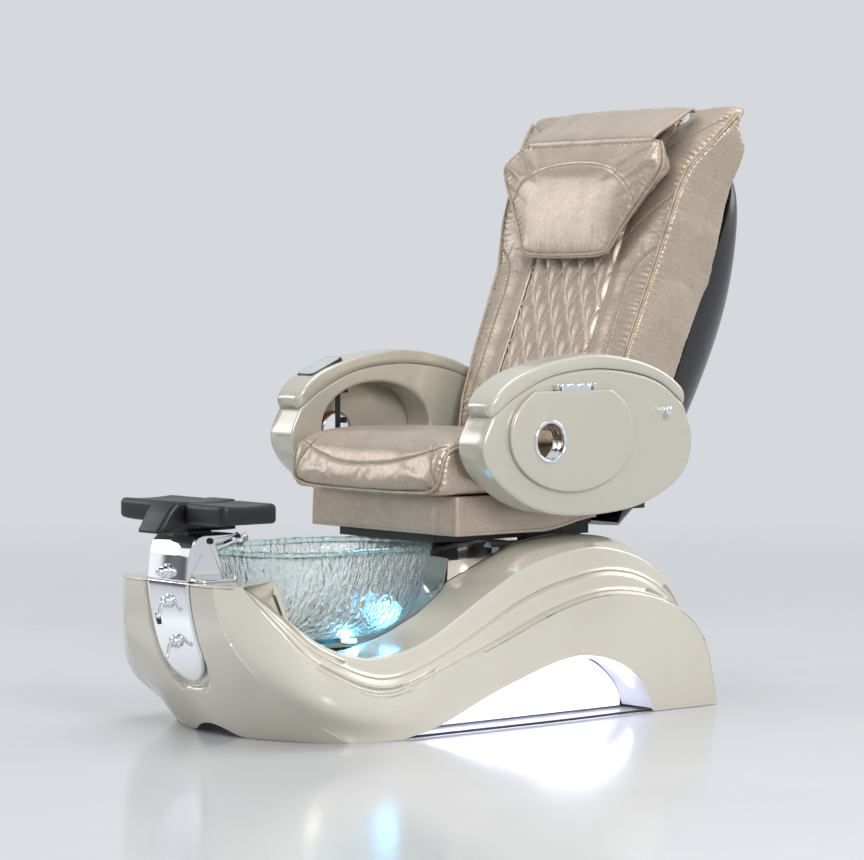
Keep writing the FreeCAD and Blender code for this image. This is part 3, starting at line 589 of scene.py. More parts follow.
CHANNEL_HALF, CHANNEL_FOOT, CHANNEL_DEPTH, CHANNEL_CORNER = .086, .108, .016, .070
CHANNEL_SHARE, CHANNEL_FADE = .42, .100
CREASE_TOP, CREASE_FOOT = -.756, -.500
NOSE_TOP, NOSE_RUN = -.765, .135
HULL_HALF, TABLE_TOP, TABLE_LEVELS = .356, .44, 45
FRONT_SAMPLES, SIDE_SAMPLES = 120, 400
TOE_RADIUS, TOE_DROP = .150, .124


def clamped_spline(points, start, end, count):
    """Smooth curve through the points with unit end directions, sampled evenly in its own parameter."""
    p = np.asarray(points, float)
    knots = run_lengths(p)
    n = len(p)
    a = np.zeros((n, n))
    b = np.zeros((n, p.shape[1]))
    a[0, 0] = a[-1, -1] = 1
    b[0], b[-1] = start, end
    for i in range(1, n - 1):
        h0, h1 = knots[i] - knots[i - 1], knots[i + 1] - knots[i]
        a[i, i - 1], a[i, i], a[i, i + 1] = h1, 2 * (h0 + h1), h0
        b[i] = 3 * (h1 * (p[i] - p[i - 1]) / h0 + h0 * (p[i + 1] - p[i]) / h1)
    slopes = np.linalg.solve(a, b)
    t = np.linspace(0, knots[-1], count)
    i = np.clip(np.searchsorted(knots, t, side="right") - 1, 0, n - 2)
    span = (knots[i + 1] - knots[i])[:, None]
    f = ((t - knots[i]) / span[:, 0])[:, None]
    return ((1 + 2 * f) * (1 - f) ** 2 * p[i] + f * (1 - f) ** 2 * span * slopes[i]
            + f * f * (3 - 2 * f) * p[i + 1] - f * f * (1 - f) * span * slopes[i + 1])


def fall_of(level):
    """0 at the deck, 1 at the floor."""
    return 1 - np.clip(level, 0, DECK) / DECK


def nose_y(level):
    """Where the middle of the front face stands at a height."""
    return NOSE_TOP + NOSE_RUN * fall_of(level) ** 1.7


def crease_point(level):
    """The edge between the front face and the side band."""
    fall = fall_of(level)
    return .165 + .160 * fall ** 1.5, CREASE_TOP + (CREASE_FOOT - CREASE_TOP) * fall ** 2.4


def outline(level, inset=0.0):
    """Half of the hull's plan at a height: the front face to its crease, then the side to the back."""
    fall = fall_of(level)
    wide = HULL_HALF - inset
    x, y = crease_point(level)
    crease = (x - inset * .3, y + inset)
    nose = (0, nose_y(level) + inset)
    shoulder = (.276 + .069 * fall ** 2.2 - inset * .8, -.688 + .268 * fall ** 4.6 + inset * .7)
    front_turn = 2.0 * math.atan2(crease[1] - nose[1], crease[0])
    side_turn = .93 * math.atan2(shoulder[1] - crease[1], shoulder[0] - crease[0])
    front = clamped_spline([nose, crease], (1, 0), (math.cos(front_turn), math.sin(front_turn)),
                           FRONT_SAMPLES)
    side = clamped_spline([crease, shoulder, (wide - .005, -.280), (wide, .100), (wide - .008, .470),
                           (wide - .026, .640 - inset), (0, .720 - inset)],
                          (math.cos(side_turn), math.sin(side_turn)), (-1, 0), SIDE_SAMPLES)
    return np.vstack([front[:-1], side])


LEVELS = np.linspace(0, TABLE_TOP, TABLE_LEVELS)
TABLES = {inset: [outline(level, inset) for level in LEVELS] for inset in (0.0, .030, .060)}


def between_levels(z):
    """The two tabled levels next to a height, each with its weight."""
    place = np.clip(z, 0, TABLE_TOP - .0001) / (LEVELS[1] - LEVELS[0])
    low = int(place)
    return (low, 1 - (place - low)), (low + 1, place - low)


def hull_x(y, z, inset=0.0):
    """Half width of the hull at a length and a height."""
    out = 0.0
    for level, weight in between_levels(z):
        table = TABLES[inset][level]
        half = int(np.argmax(table[:, 1] > .60))
        out += weight * np.interp(y, table[:half, 1], table[:half, 0])
    return out


def fascia_point(level, share):
    """Point on the front face between its centre line and the crease."""
    out = np.zeros(2)
    # near the channel the columns keep to its edge; towards the floor they spread evenly
    mix_in = min(level / CHANNEL_FADE, 1)
    for index, weight in between_levels(level):
        end = crease_point(LEVELS[index])[0]
        if share < CHANNEL_SHARE:
            x = share / CHANNEL_SHARE * CHANNEL_HALF
        else:
            x = CHANNEL_HALF + (end - CHANNEL_HALF) * (share - CHANNEL_SHARE) / (1 - CHANNEL_SHARE)
        x = x * mix_in + end * share * (1 - mix_in)
        part = TABLES[0.0][index][:FRONT_SAMPLES]
        out += weight * np.array([x, np.interp(x, part[:, 0], part[:, 1])])
    return np.array([out[0], out[1], level])


def channel_depth(x, z):
    """How far the nose is pressed in for the chrome strip; a rounded bottom end, square at the top."""
    reach_x = abs(x) - (CHANNEL_HALF - CHANNEL_CORNER)
    reach_z = (CHANNEL_FOOT + CHANNEL_CORNER) - z
    outside = math.hypot(max(reach_x, 0), max(reach_z, 0))
    distance = outside + min(max(reach_x, reach_z), 0) - CHANNEL_CORNER
    return CHANNEL_DEPTH * float(1 - smoothstep(-.005, .003, distance))


def wave_line(points, inset, count):
    """The wave as a line in space on the hull, sampled evenly by length."""
    dense = smooth_path(points, 400)
    line = np.array([(hull_x(y, z, inset), y, z) for y, z in dense])
    return resample(line, count)


def resample(line, count, where=None):
    """Points spaced evenly along a line, or at the given shares of its length."""
    line = np.asarray(line, float)
    lengths = run_lengths(line)
    target = np.linspace(0, lengths[-1], count) if where is None else np.asarray(where) * lengths[-1]
    return np.stack([np.interp(target, lengths, line[:, k]) for k in range(3)], axis=1)


def share_at(line, y):
    """How far along the line, as a share of its length, it first reaches that y on its way back."""
    lengths = run_lengths(line)
    return float(np.interp(y, line[:, 1], lengths / lengths[-1]))


ROWS = 84
COLS = 150
FASCIA_SHARES = np.unique(np.concatenate([np.linspace(0, .36, 7), np.linspace(.36, .50, 15),
                                          np.linspace(.50, 1, 13), [.98, .992]]))
fascia_cols = len(FASCIA_SHARES)
rise_shares = np.linspace(0, 1, ROWS)
arch_path = smooth_path(ARCH, 300)


def floor_height(y):
    """Height of the side's lower edge: the arch over the lit recess, or the floor."""
    return float(np.interp(y, arch_path[:, 0], arch_path[:, 1])) if ARCH[0][0] < y < ARCH[-1][0] else 0.0


outer_line = wave_line(WAVE_OUTER, 0.0, 800)
# where each upright column's foot meets the floor or the arch, against where its head meets the wave
head_y = [-.722, -.600, -.420, -.150, .262, .500, FLOOR_END]
foot_y = [-.478, -.430, -.373, -.140, .200, .392, FLOOR_END]
head_share = np.array([share_at(outer_line, y) for y in head_y])
shares = np.sort(np.unique(np.concatenate([np.linspace(0, 1, COLS), head_share])))
feet = np.interp(shares, head_share, foot_y)
heads = resample(outer_line, 0, shares)

columns = []
for share in FASCIA_SHARES:
    column = []
    for w in rise_shares:
        x_foot = fascia_point(0, share)[0]
        toe = max(0.0, math.sqrt(max(TOE_RADIUS ** 2 - x_foot ** 2, 0)) - TOE_DROP)
        point = fascia_point(DECK - (DECK - toe) * w, share)
        point[1] += channel_depth(point[0], point[2])
        column.append(point)
    columns.append(np.array(column))
DECK_SHARES = (.015, .05, .2, .4, .6, .8)
deck_steps = len(DECK_SHARES) + 1
for f in DECK_SHARES:
    top_y = CREASE_TOP + f * (head_y[0] - CREASE_TOP)
    foot = CREASE_FOOT + f * (foot_y[0] - CREASE_FOOT)
    column = []
    for w in rise_shares:
        level = DECK * (1 - w)
        bow = crease_point(level)[1] - (CREASE_TOP + w * (CREASE_FOOT - CREASE_TOP))
        y = top_y + w * (foot - top_y) + bow * (1 - .6 * f)
        column.append((hull_x(y, level), y, level))
    columns.append(np.array(column))
for share, foot, head in zip(shares, feet, heads):
    base = floor_height(foot)
    column = []
    for w in rise_shares:
        level = head[2] + w * (base - head[2])
        bow = crease_point(DECK * (1 - w))[1] - (CREASE_TOP + w * (CREASE_FOOT - CREASE_TOP))
        bow *= .4 * max(0, 1 - share / .12)
        y = head[1] + w * (foot - head[1]) + bow
        column.append((hull_x(y, level), y, level))
    columns.append(np.array(column))
side_surface = np.array(columns).transpose(1, 0, 2)


def round_edge(upper, corner, lower, radius, steps=4):
    """Rows that round the corner between two rows of points."""
    a = corner + radius * (upper - corner) / (np.linalg.norm(upper - corner, axis=1)[:, None] + 1e-9)
    c = corner + radius * (lower - corner) / (np.linalg.norm(lower - corner, axis=1)[:, None] + 1e-9)
    out = []
    for t in np.linspace(0, 1, steps):
        out.append((1 - t) ** 2 * a + 2 * t * (1 - t) * corner + t * t * c)
    return out


middle_line = resample(wave_line(WAVE_MIDDLE, .030, 600), 0, shares)
inner_line = resample(wave_line(WAVE_INNER, .060, 600), 0, shares)
# the steps open over the first stretch of the line and close again over the last
STEP_FADE = .05
step_share = np.clip(np.minimum(shares, 1 - shares) / STEP_FADE, 0, 1)[:, None]


def step_foot(outer, inner):
    """A point in the inner corner between a ledge and the wall above it."""
    foot = inner.copy()
    foot[:, 2] = outer[:, 2] * .86 + inner[:, 2] * .14
    foot[:, 0] = inner[:, 0] + .1 * (outer[:, 0] - inner[:, 0])
    foot[:, 1] = .6 * inner[:, 1] + .4 * outer[:, 1]
    return outer + (foot - outer) * (.5 + .5 * step_share)


foot_one = step_foot(heads, middle_line)
foot_two = step_foot(middle_line, inner_line)


RECESS_LEVELS = [.150, .185, .215, .255, .305, .380]
RECESS_HALF_X = [.070, .120, .160, .192, .213, .226]
RECESS_HALF_Y = [.100, .160, .215, .262, .288, .300]
RECESS_POWER = 2 / 2.9
RECESS_FLOOR, REAR_DECK, BAND_TOP = .165, .370, .372
REAR_DECK_END = np.array([.225, .25, .386])


def recess_point(angle, level):
    """Wall of the bowl's recess: a rounded tub that narrows towards its bottom."""
    half_x = np.interp(level, RECESS_LEVELS, RECESS_HALF_X)
    half_y = np.interp(level, RECESS_LEVELS, RECESS_HALF_Y)
    cos, sin = math.cos(angle), math.sin(angle)
    return np.array([half_x * math.copysign(abs(cos) ** RECESS_POWER, cos),
                     BOWL_Y + half_y * math.copysign(abs(sin) ** RECESS_POWER, sin), level])


inner_dense = smooth_path(WAVE_INNER, 400)
crest_dense = smooth_path(CREST, 300)


def band_level(y):
    """Height of the inner edge of the band beside the bowl."""
    level = float(np.interp(y, inner_dense[:, 0], inner_dense[:, 1]))
    lift = .030 * float(smoothstep(-.42, -.16, y))
    dip = .012 * float(smoothstep(-.66, -.56, y) * (1 - smoothstep(-.35, -.2, y)))
    return min(level + lift - dip, BAND_TOP)


def recess_head(angle):
    """Height where the recess's wall meets the band, found by going back and forth between the two."""
    level = DECK
    for _ in range(6):
        level = band_level(recess_point(angle, level)[1])
    return level


FRONT_ANGLE, REAR_ANGLE = math.radians(-52), math.radians(47)
rear_share = share_at(inner_line, -.012)
inner_edge = []
for share, y in zip(shares, inner_line[:, 1]):
    if share <= rear_share:
        f = share / rear_share
        angle = FRONT_ANGLE + (REAR_ANGLE - FRONT_ANGLE) * f
        inner_edge.append(recess_point(angle, recess_head(angle) if f > .02 else DECK))
    else:
        start = recess_point(REAR_ANGLE, band_level(recess_point(REAR_ANGLE, REAR_DECK)[1]))
        f = smoothstep(0, .035, share - rear_share)
        target = np.array([.222, y, float(np.interp(y, crest_dense[:, 0], crest_dense[:, 1]))])
        inner_edge.append(start * (1 - f) + target * f if f < 1 else target)
inner_edge = np.array(inner_edge)

rows = list(side_surface[::-1, fascia_cols + deck_steps - 1:][:-1])
rows += round_edge(rows[-1], heads, foot_one, .0045)
rows += [heads + (foot_one - heads) * t for t in (.3, .6, .85)]
rows += round_edge(heads, foot_one, middle_line, .009, 3)
rows += [foot_one + (middle_line - foot_one) * t for t in (.35, .65)]
rows += round_edge(foot_one, middle_line, foot_two, .0045)
rows += [middle_line + (foot_two - middle_line) * t for t in (.3, .6, .85)]
rows += round_edge(middle_line, foot_two, inner_line, .011, 3)
rows += [foot_two + (inner_line - foot_two) * t for t in (.35, .65)]
rows += round_edge(foot_two, inner_line, inner_edge, .005)
for t in (.15, .3, .45, .6, .75, .88):
    row = inner_line + (inner_edge - inner_line) * t
    row[:, 2] += .010 * math.sin(math.pi * t) * smoothstep(-.2, .05, inner_line[:, 1])
    rows.append(row)
drop = inner_edge.copy()
drop[:, 2] -= .030
rows += round_edge(inner_line, inner_edge, drop, .006)
# behind the bowl the crest falls away to the middle of the chair
behind = (shares > rear_share)[:, None]
rows.append(np.where(behind, inner_edge * np.array([.55, 1, 1]) - np.array([0, 0, .035]), drop))
band_mesh = grid_mesh("band", rows, PEARL)

front_rows = side_surface[::-1, :fascia_cols + deck_steps]
top = front_rows[-1]
lip_rows = round_edge(front_rows[-2], top, top + np.array([0, .03, 0]), .005)
top_lengths = run_lengths(top)
ring_front = np.array([recess_point(-math.pi / 2 + (FRONT_ANGLE + math.pi / 2) * place / top_lengths[-1],
                                    DECK)
                       for place in top_lengths])
front_deck = [top * (1 - t) + ring_front * t for t in (.12, .3, .5, .7, .85, 1.0)]
front_mesh = grid_mesh("front", list(front_rows[:-1]) + lip_rows + front_deck, PEARL)

# bowl recess
recess_rows = []
for share in np.linspace(0, 1, 14):
    ring = []
    for angle in np.linspace(-math.pi / 2, math.pi / 2, 60):
        if angle < FRONT_ANGLE:
            high = DECK
        elif angle > REAR_ANGLE:
            high = REAR_DECK
        else:
            high = recess_head(angle)
        level = high + (RECESS_FLOOR - high) * share
        point = recess_point(angle, level)
        if share == 1:
            point = point * np.array([.3, 1, 1])
        ring.append(point)
    recess_rows.append(ring)
recess_mesh = grid_mesh("recess", recess_rows, PEARL)

# deck behind the bowl
deck_rows = []
edge = [recess_point(angle, REAR_DECK) for angle in np.linspace(math.pi / 2, REAR_ANGLE, 16)]
for t in np.linspace(0, 1, 8):
    row = []
    for k, point in enumerate(edge):
        far = REAR_DECK_END * np.array([k / (len(edge) - 1), 1, 1])
        row.append(point * (1 - t) + far * t)
    deck_rows.append(row)
deck_mesh = grid_mesh("deck", deck_rows, PEARL)
# wall that rises from the deck's edge to the inner edge of the band
rise_rows = []
corner = recess_point(REAR_ANGLE, REAR_DECK)
rear_part = inner_edge[shares >= rear_share]
for t in np.linspace(0, 1, 26):
    low_point = corner * (1 - t) + REAR_DECK_END * t
    high_point = np.array([np.interp(low_point[1], rear_part[:, 1], rear_part[:, k]) for k in range(3)])
    rise_rows.append([low_point * (1 - f) + high_point * f for f in (0, .33, .67, 1)])
rise_mesh = grid_mesh("rise", rise_rows, PEARL)
# top of the base behind the deck, under the seat
TAIL_LENGTH = .345
tail_rows = []
for t in np.linspace(0, 1, 20):
    y = REAR_DECK_END[1] + t * TAIL_LENGTH
    z = float(np.interp(y, crest_dense[:, 0], crest_dense[:, 1])) - .030 * (1 - t)
    tail_rows.append([(x, y, z) for x in np.linspace(0, REAR_DECK_END[0], 8)])
tail_mesh = grid_mesh("tail", tail_rows, PEARL)

# ceiling of the lit recess, from the lower edge of the side in to the lit panel
COVE_WALL = .2385
ceiling_rows = []
for share in np.linspace(0, 1, 10):
    row = []
    for y, z in arch_path[::3]:
        edge_x = hull_x(y, z)
        lift = .004 * smoothstep(0, .15, share)
        row.append((edge_x + (COVE_WALL - edge_x) * share, y, z + lift if 0 < z else z))
    ceiling_rows.append(row)
ceiling_mesh = grid_mesh("ceiling", ceiling_rows, COVE_WHITE)
half_parts = [band_mesh, front_mesh, recess_mesh, deck_mesh, rise_mesh, tail_mesh, ceiling_mesh]
other_half = [mirror_x(part, part.name + "_r") for part in half_parts]
base_shell = outward(join("base_shell", half_parts + other_half))
points = coords(base_shell)
points[:, 2] = np.maximum(points[:, 2], 0)
set_coords(base_shell, points)
shade_smooth(base_shell)
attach(base_shell, "base")
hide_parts("base_core", "wave_panel_left", "wave_panel_right")

# ------------------------------------------------------------------ rounded pieces from outlines
def dense_outline(points, count, smooth=True):
    """A closed outline resampled evenly, anticlockwise."""
    p = smooth_path(points, 600, closed=True) if smooth else np.asarray(points, float)
    loop = np.vstack([p, p[:1]])
    lengths = run_lengths(loop)
    t = np.linspace(0, lengths[-1], count, endpoint=False)
    p = np.stack([np.interp(t, lengths, loop[:, k]) for k in range(2)], axis=1)
    area = np.sum(p[:, 0] * np.roll(p[:, 1], -1) - np.roll(p[:, 0], -1) * p[:, 1])
    return p if area > 0 else p[::-1]


def shrink(outline, amount):
    """Move a closed anticlockwise outline inwards."""
    tangent = np.roll(outline, -1, 0) - np.roll(outline, 1, 0)
    tangent /= np.linalg.norm(tangent, axis=1)[:, None] + 1e-12
    return outline - amount * np.stack([tangent[:, 1], -tangent[:, 0]], axis=1)


def weld(obj, distance=1e-5):
    """Merge points that meet and drop faces without area."""
    bm = bmesh.new()
    bm.from_mesh(obj.data)
    bmesh.ops.remove_doubles(bm, verts=bm.verts, dist=distance)
    bmesh.ops.dissolve_degenerate(bm, edges=bm.edges, dist=distance)
    bmesh.ops.recalc_face_normals(bm, faces=bm.faces)
    bm.to_mesh(obj.data)
    bm.free()
    return shade_smooth(obj)


def edge_levels(near, far, radius_near, radius_far, steps=5):
    """Pairs of inset and depth that round both edges of a slab."""
    way = 1 if far > near else -1
    out = [(radius_near * (1 - math.sin(a)), near + way * radius_near * (1 - math.cos(a)))
           for a in np.linspace(0, math.pi / 2, steps)]
    out += [(radius_far * (1 - math.sin(a)), far - way * radius_far * (1 - math.cos(a)))
            for a in np.linspace(math.pi / 2, 0, steps)]
    return out


def slab(name, outline, place, near, far, radius, material=None, radius_far=None, caps=5, bulge=0.0,
         bulge_far=0.0,
         steps=5, centre=None):
    """A piece with two faces and rounded edges; place turns outline coordinates and depth into a point."""
    radius_far = radius if radius_far is None else radius_far
    way = 1 if far > near else -1
    centre = outline.mean(0) if centre is None else np.array(centre)
    rows = []
    first = shrink(outline, radius)
    for f in np.linspace(0, 1, caps, endpoint=False):
        ring = centre + (first - centre) * f
        rows.append(place(ring, near - way * bulge * (1 - f * f)))
    for inset, depth in edge_levels(near, far, radius, radius_far, steps):
        rows.append(place(shrink(outline, inset), depth))
    last = shrink(outline, radius_far)
    for f in np.linspace(1, 0, caps + 1)[1:]:
        ring = centre + (last - centre) * f
        rows.append(place(ring, far + way * bulge_far * (1 - f * f)))
    return weld(grid_mesh(name, rows, material, wrap_cols=True))


def holed_slab(name, outline, hole, place, near, far, radius, material=None, hole_radius=.003, rings=6):
    """A slab with a hole: outline and hole have matching points."""
    rows = []
    for f in np.linspace(0, 1, rings):
        rows.append(place(shrink(hole, -hole_radius) * (1 - f) + shrink(outline, radius) * f, near))
    rows += [place(shrink(outline, inset), depth)
             for inset, depth in edge_levels(near, far, radius, radius)[1:-1]]
    for f in np.linspace(1, 0, rings):
        rows.append(place(shrink(hole, -hole_radius) * (1 - f) + shrink(outline, radius) * f, far))
    rows += [place(shrink(hole, -inset), depth)
             for inset, depth in edge_levels(far, near, hole_radius, hole_radius)[1:-1]]
    return weld(grid_mesh(name, rows, material, wrap_cols=True, wrap_rows=True))


def hole_for(outline, centre, half_a, half_b):
    """Points on an ellipse in the same directions as the outline's points."""
    direction = outline - np.asarray(centre)
    angles = np.arctan2(direction[:, 1] / half_b, direction[:, 0] / half_a)
    return np.stack([centre[0] + half_a * np.cos(angles), centre[1] + half_b * np.sin(angles)], axis=1)


def side_place(points, depth):
    """Outline in y and z, depth along x."""
    return np.column_stack([np.full(len(points), depth), points])


def front_place(points, depth):
    """Outline in x and z, depth along y."""
    return np.column_stack([points[:, 0], np.full(len(points), depth), points[:, 1]])


def top_place(points, depth):
    """Outline in x and y, depth along z."""
    return np.column_stack([points, np.full(len(points), depth)])


def box_outline(x0, x1, y0, y1, power=5.0, count=96):
    """A rounded rectangle as a superellipse."""
    t = np.linspace(0, 2 * math.pi, count, endpoint=False)
    cos, sin = np.cos(t), np.sin(t)
    x = (x0 + x1) / 2 + (x1 - x0) / 2 * np.sign(cos) * np.abs(cos) ** (2 / power)
    y = (y0 + y1) / 2 + (y1 - y0) / 2 * np.sign(sin) * np.abs(sin) ** (2 / power)
    return dense_outline(np.stack([x, y], axis=1), count)


# ------------------------------------------------------------------ foot bowl
BOWL_RINGS = [(0, .30, .36), (.02, .40, .46), (.07, .56, .62), (.27, .77, .82), (.53, .89, .92), (1, 1, 1)]
BOWL_BOTTOM, BOWL_RIM, BOWL_POWER, BOWL_WALL = .196, .400, 2.6, .008
BOWL_HALF_X, BOWL_HALF_Y, BOWL_FLOOR = .200, .265, .045
BOWL_COLUMNS = 200
bowl_levels = smooth_path(BOWL_RINGS, 46)
bowl_angles = np.linspace(0, 2 * math.pi, BOWL_COLUMNS, endpoint=False)


def bowl_ring(height, across, along, inset):
    """One level of the bowl, with the glass's slow ripple; height is a share of the bowl's own."""
    cos, sin = np.cos(bowl_angles), np.sin(bowl_angles)
    x = (BOWL_HALF_X * across - inset) * np.sign(cos) * np.abs(cos) ** (2 / BOWL_POWER)
    y = BOWL_Y + (BOWL_HALF_Y * along - inset) * np.sign(sin) * np.abs(sin) ** (2 / BOWL_POWER)
    ring = np.column_stack([x, y, np.full(len(x), BOWL_BOTTOM + (BOWL_RIM - BOWL_BOTTOM) * height)])
    ripple = noise3(ring * np.array([1, 1, .45]), 120, 5, 2) * .0011
    direction = ring - np.array([0, BOWL_Y, ring[0, 2]])
    direction /= np.linalg.norm(direction, axis=1)[:, None]
    return ring + direction * ripple[:, None]


rim_circle = np.column_stack([np.cos(bowl_angles), np.sin(bowl_angles), np.zeros(BOWL_COLUMNS)])
rim_wave = noise3(rim_circle, 6, 3, 2) * .0022
rows = [bowl_ring(0, .02, .02, 0)]
rows += [bowl_ring(h, a, b, 0) for h, a, b in bowl_levels]
for step in np.linspace(0, math.pi, 5)[1:-1]:
    ring = bowl_ring(1, 1, 1, .004 * (1 - math.cos(step)))
    ring[:, 2] += .001 * math.sin(step) + rim_wave
    rows.append(ring)
inner_levels = [(max(h, BOWL_FLOOR), a, b) for h, a, b in bowl_levels[::-1]]
rows += [bowl_ring(h, a, b, BOWL_WALL) for h, a, b in inner_levels]
rows.append(bowl_ring(BOWL_FLOOR, .06, .05, 0))
bowl = weld(grid_mesh("bowl_glass", rows, GLASS, wrap_cols=True))
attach(bowl, "base")
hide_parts("glass_bowl")
ring = bowl_ring(1, 1, 1, .0045)
ring[:, 2] += .0030 + rim_wave
steps = np.arange(BOWL_COLUMNS)
lumps = 1 + .10 * np.sin(steps * .55) + .07 * np.sin(steps * 1.31)
bowl_rim = tube("bowl_rim", ring, .0078 * lumps, GLASS_RIM, 14, closed=True)
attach(bowl_rim, "base")

# painted shadow: a dark cord laid on the floor under the lit recess, standing in for the shadow along the
# foot of the recess
shadow_line_half = tube("sill", [(hull_x(y, 0) - .008, y, .003) for y in np.linspace(-.372, .392, 60)], .0028,
                 RUBBER_AND_PAINTED_SHADOW, 8)
sill = shade_smooth(join("floor_sill", [shadow_line_half, mirror_x(shadow_line_half, "sill_r")]))
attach(sill, "base")

# ------------------------------------------------------------------ chrome strip, housing, valves, sprayer
STRIP_HALF, STRIP_TURN, STRIP_TOP, STRIP_OFF = .078, .200, .351, .004
strip_outline = [(-STRIP_HALF, STRIP_TOP)]
strip_outline += [(-STRIP_HALF * math.cos(a), STRIP_TURN - STRIP_HALF * math.sin(a))
                  for a in np.linspace(0, math.pi, 24)]
strip_outline += [(STRIP_HALF, STRIP_TOP)]
strip_outline = dense_outline(strip_outline, 140, smooth=False)


def strip_place(points, depth):
    """Outline in x and z, laid along the curved nose."""
    base = np.array([nose_y(z) for z in points[:, 1]]) + STRIP_OFF
    return np.column_stack([points[:, 0], base + depth, points[:, 1]])


strip = slab("faucet_strip", strip_outline, strip_place, 0, .009, .0035, CHROME, caps=7, steps=4)
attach(strip, "base")
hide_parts("faucet_panel")
HOUSING = [(-.761, .352), (-.7555, .408), (-.745, .438), (-.731, .451), (-.717, .455), (-.632, .455),
           (-.632, .446),
           (-.684, .434), (-.668, .392), (-.660, .352)]
housing_outline = dense_outline([p for a, b in zip(HOUSING, HOUSING[1:] + HOUSING[:1])
                                 for p in np.linspace(a, b, 8, endpoint=False)], 120, smooth=False)
housing = slab("tap_housing", housing_outline, side_place, -STRIP_HALF, STRIP_HALF, .0040, CHROME, steps=4,
               centre=(-.705, .441))
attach(housing, "base")
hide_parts("footrest_housing")
flange = slab("tap_flange", box_outline(-.106, .106, -.747, -.631, 7), top_place, .350, .3565, .0025,
              CHROME, steps=4)
caps = [lathe("flange_cap", [(0, .3565), (.0075, .3565), (.0075, .3585), (.006, .360), (0, .3604)],
              (x, y, 0), (0, 0, 1), CHROME, 20) for x in (-.094, .094) for y in (-.735, -.645)]
flange = join("tap_flange", [flange] + caps)
shade_smooth(flange)
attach(flange, "base")
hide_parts("housing_flange")

DISC = [(0, -.001), (.014, -.001), (.0165, .0005), (.0168, .003), (.0155, .0045), (.012, .0048),
        (.0115, .007),
        (.0125, .0075), (.0125, .013), (.011, .0145), (0, .0148)]


HOUSING_FRONT = -.7600
LEVER_PATH = [(0, -.0145, 0), (-.001, -.018, -.004), (-.003, -.020, -.016), (-.004, -.023, -.028),
              (-.004, -.0275, -.034)]
LEVER_RADII = np.interp(np.linspace(0, 1, 20), [0, .3, .75, 1], [.0045, .0038, .0036, .005])
GRIP = [(0, .0145), (.0085, .0145), (.0095, .016), (.0088, .024), (.007, .026), (0, .0262)]


def valve(name, level, lever=True):
    """A turned rose with a hanging lever or a round grip, at a height on the strip or the housing."""
    front = nose_y(level) + STRIP_OFF if level < DECK else HOUSING_FRONT
    turned = [lathe(name, DISC, (0, front, level), (0, -1, 0), CHROME, 32)]
    if lever:
        path = smooth_path(np.array(LEVER_PATH) + np.array([0, front, level]), len(LEVER_RADII))
        turned.append(tube(name + "_lever", path, LEVER_RADII, CHROME, 14, flat=1.3))
    else:
        turned.append(lathe(name + "_grip", GRIP, (0, front, level), (0, -1, 0), CHROME, 28))
    return shade_smooth(join(name, turned))


for name, level, body, node, lever in (("diverter", .372, "diverter", "diverter_knob", False),
                                       ("hot_tap", .305, "hot_tap", "hot_handle", True),
                                       ("cold_tap", .215, "cold_tap", "cold_handle", True)):
    piece = valve(name + "_control", level, lever)
    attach(piece, body)
    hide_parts(node)
switch_outline = box_outline(-.0575, -.0455, .249, .275, 6, 48)
switch = slab("rocker_switch", switch_outline, strip_place, -.004, .004, .0018, BLACK_SHELL, steps=3,
              bulge=.0012)
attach(switch, "switch")
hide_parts("power_switch")

SPRAY_AXIS = np.array([0, .966, .259])
SPRAY_FROM = np.array([.038, -.700, .408])
spray_profile = [(0, .028), (.0065, .028), (.0078, .032), (.0074, .060), (.0080, .088), (.0092, .094),
                 (.0092, .098),
                 (.0070, .100)]
SPRAY_BULB, BULB_AT = .0148, .114
spray_profile += [(SPRAY_BULB * math.sin(a), BULB_AT - SPRAY_BULB * math.cos(a))
                  for a in np.linspace(.5, 1.35, 6)]
spray_profile += [(.0166, .1105), (.0168, .1125), (.0150, .1150), (.0135, .1200), (.0122, .1240),
                  (.0118, .1295), (.0100, .1305),
                  (0, .1305)]
sprayer = lathe("spray_head", spray_profile, SPRAY_FROM, SPRAY_AXIS, CHROME, 36)
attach(sprayer, "sprayer")
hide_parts("hand_sprayer")

# ------------------------------------------------------------------ footrest
PAD_X0, PAD_X1, PAD_Y0, PAD_Y1, PAD_LOW, PAD_HIGH = .049, .202, -.754, -.602, .478, .527


def footrest_pad(name, side):
    """Moulded foot wing with a dished top and rounded edges."""
    outline = box_outline(PAD_X0, PAD_X1, PAD_Y0, PAD_Y1, 9, 120)
    piece = slab(name, outline, top_place, PAD_LOW, PAD_HIGH, .009, URETHANE, radius_far=.014, caps=9,
                 steps=6)
    points = coords(piece)
    across = (points[:, 0] - .1235) / .075
    along = (points[:, 1] + .678) / .074
    lift = np.clip((points[:, 2] - .500) / (PAD_HIGH - .500), 0, 1)
    points[:, 2] -= lift * .0065 * np.clip(1 - along ** 2, 0, 1) * (1 - .35 * np.abs(across) ** 3)
    points[:, 2] += (1 - lift) * .004 * np.clip(across, 0, 1) ** 2
    set_coords(piece, points)
    if side < 0:
        other = mirror_x(piece, name)
        bpy.data.objects.remove(piece)
        other.name = name
        piece = other
    return piece


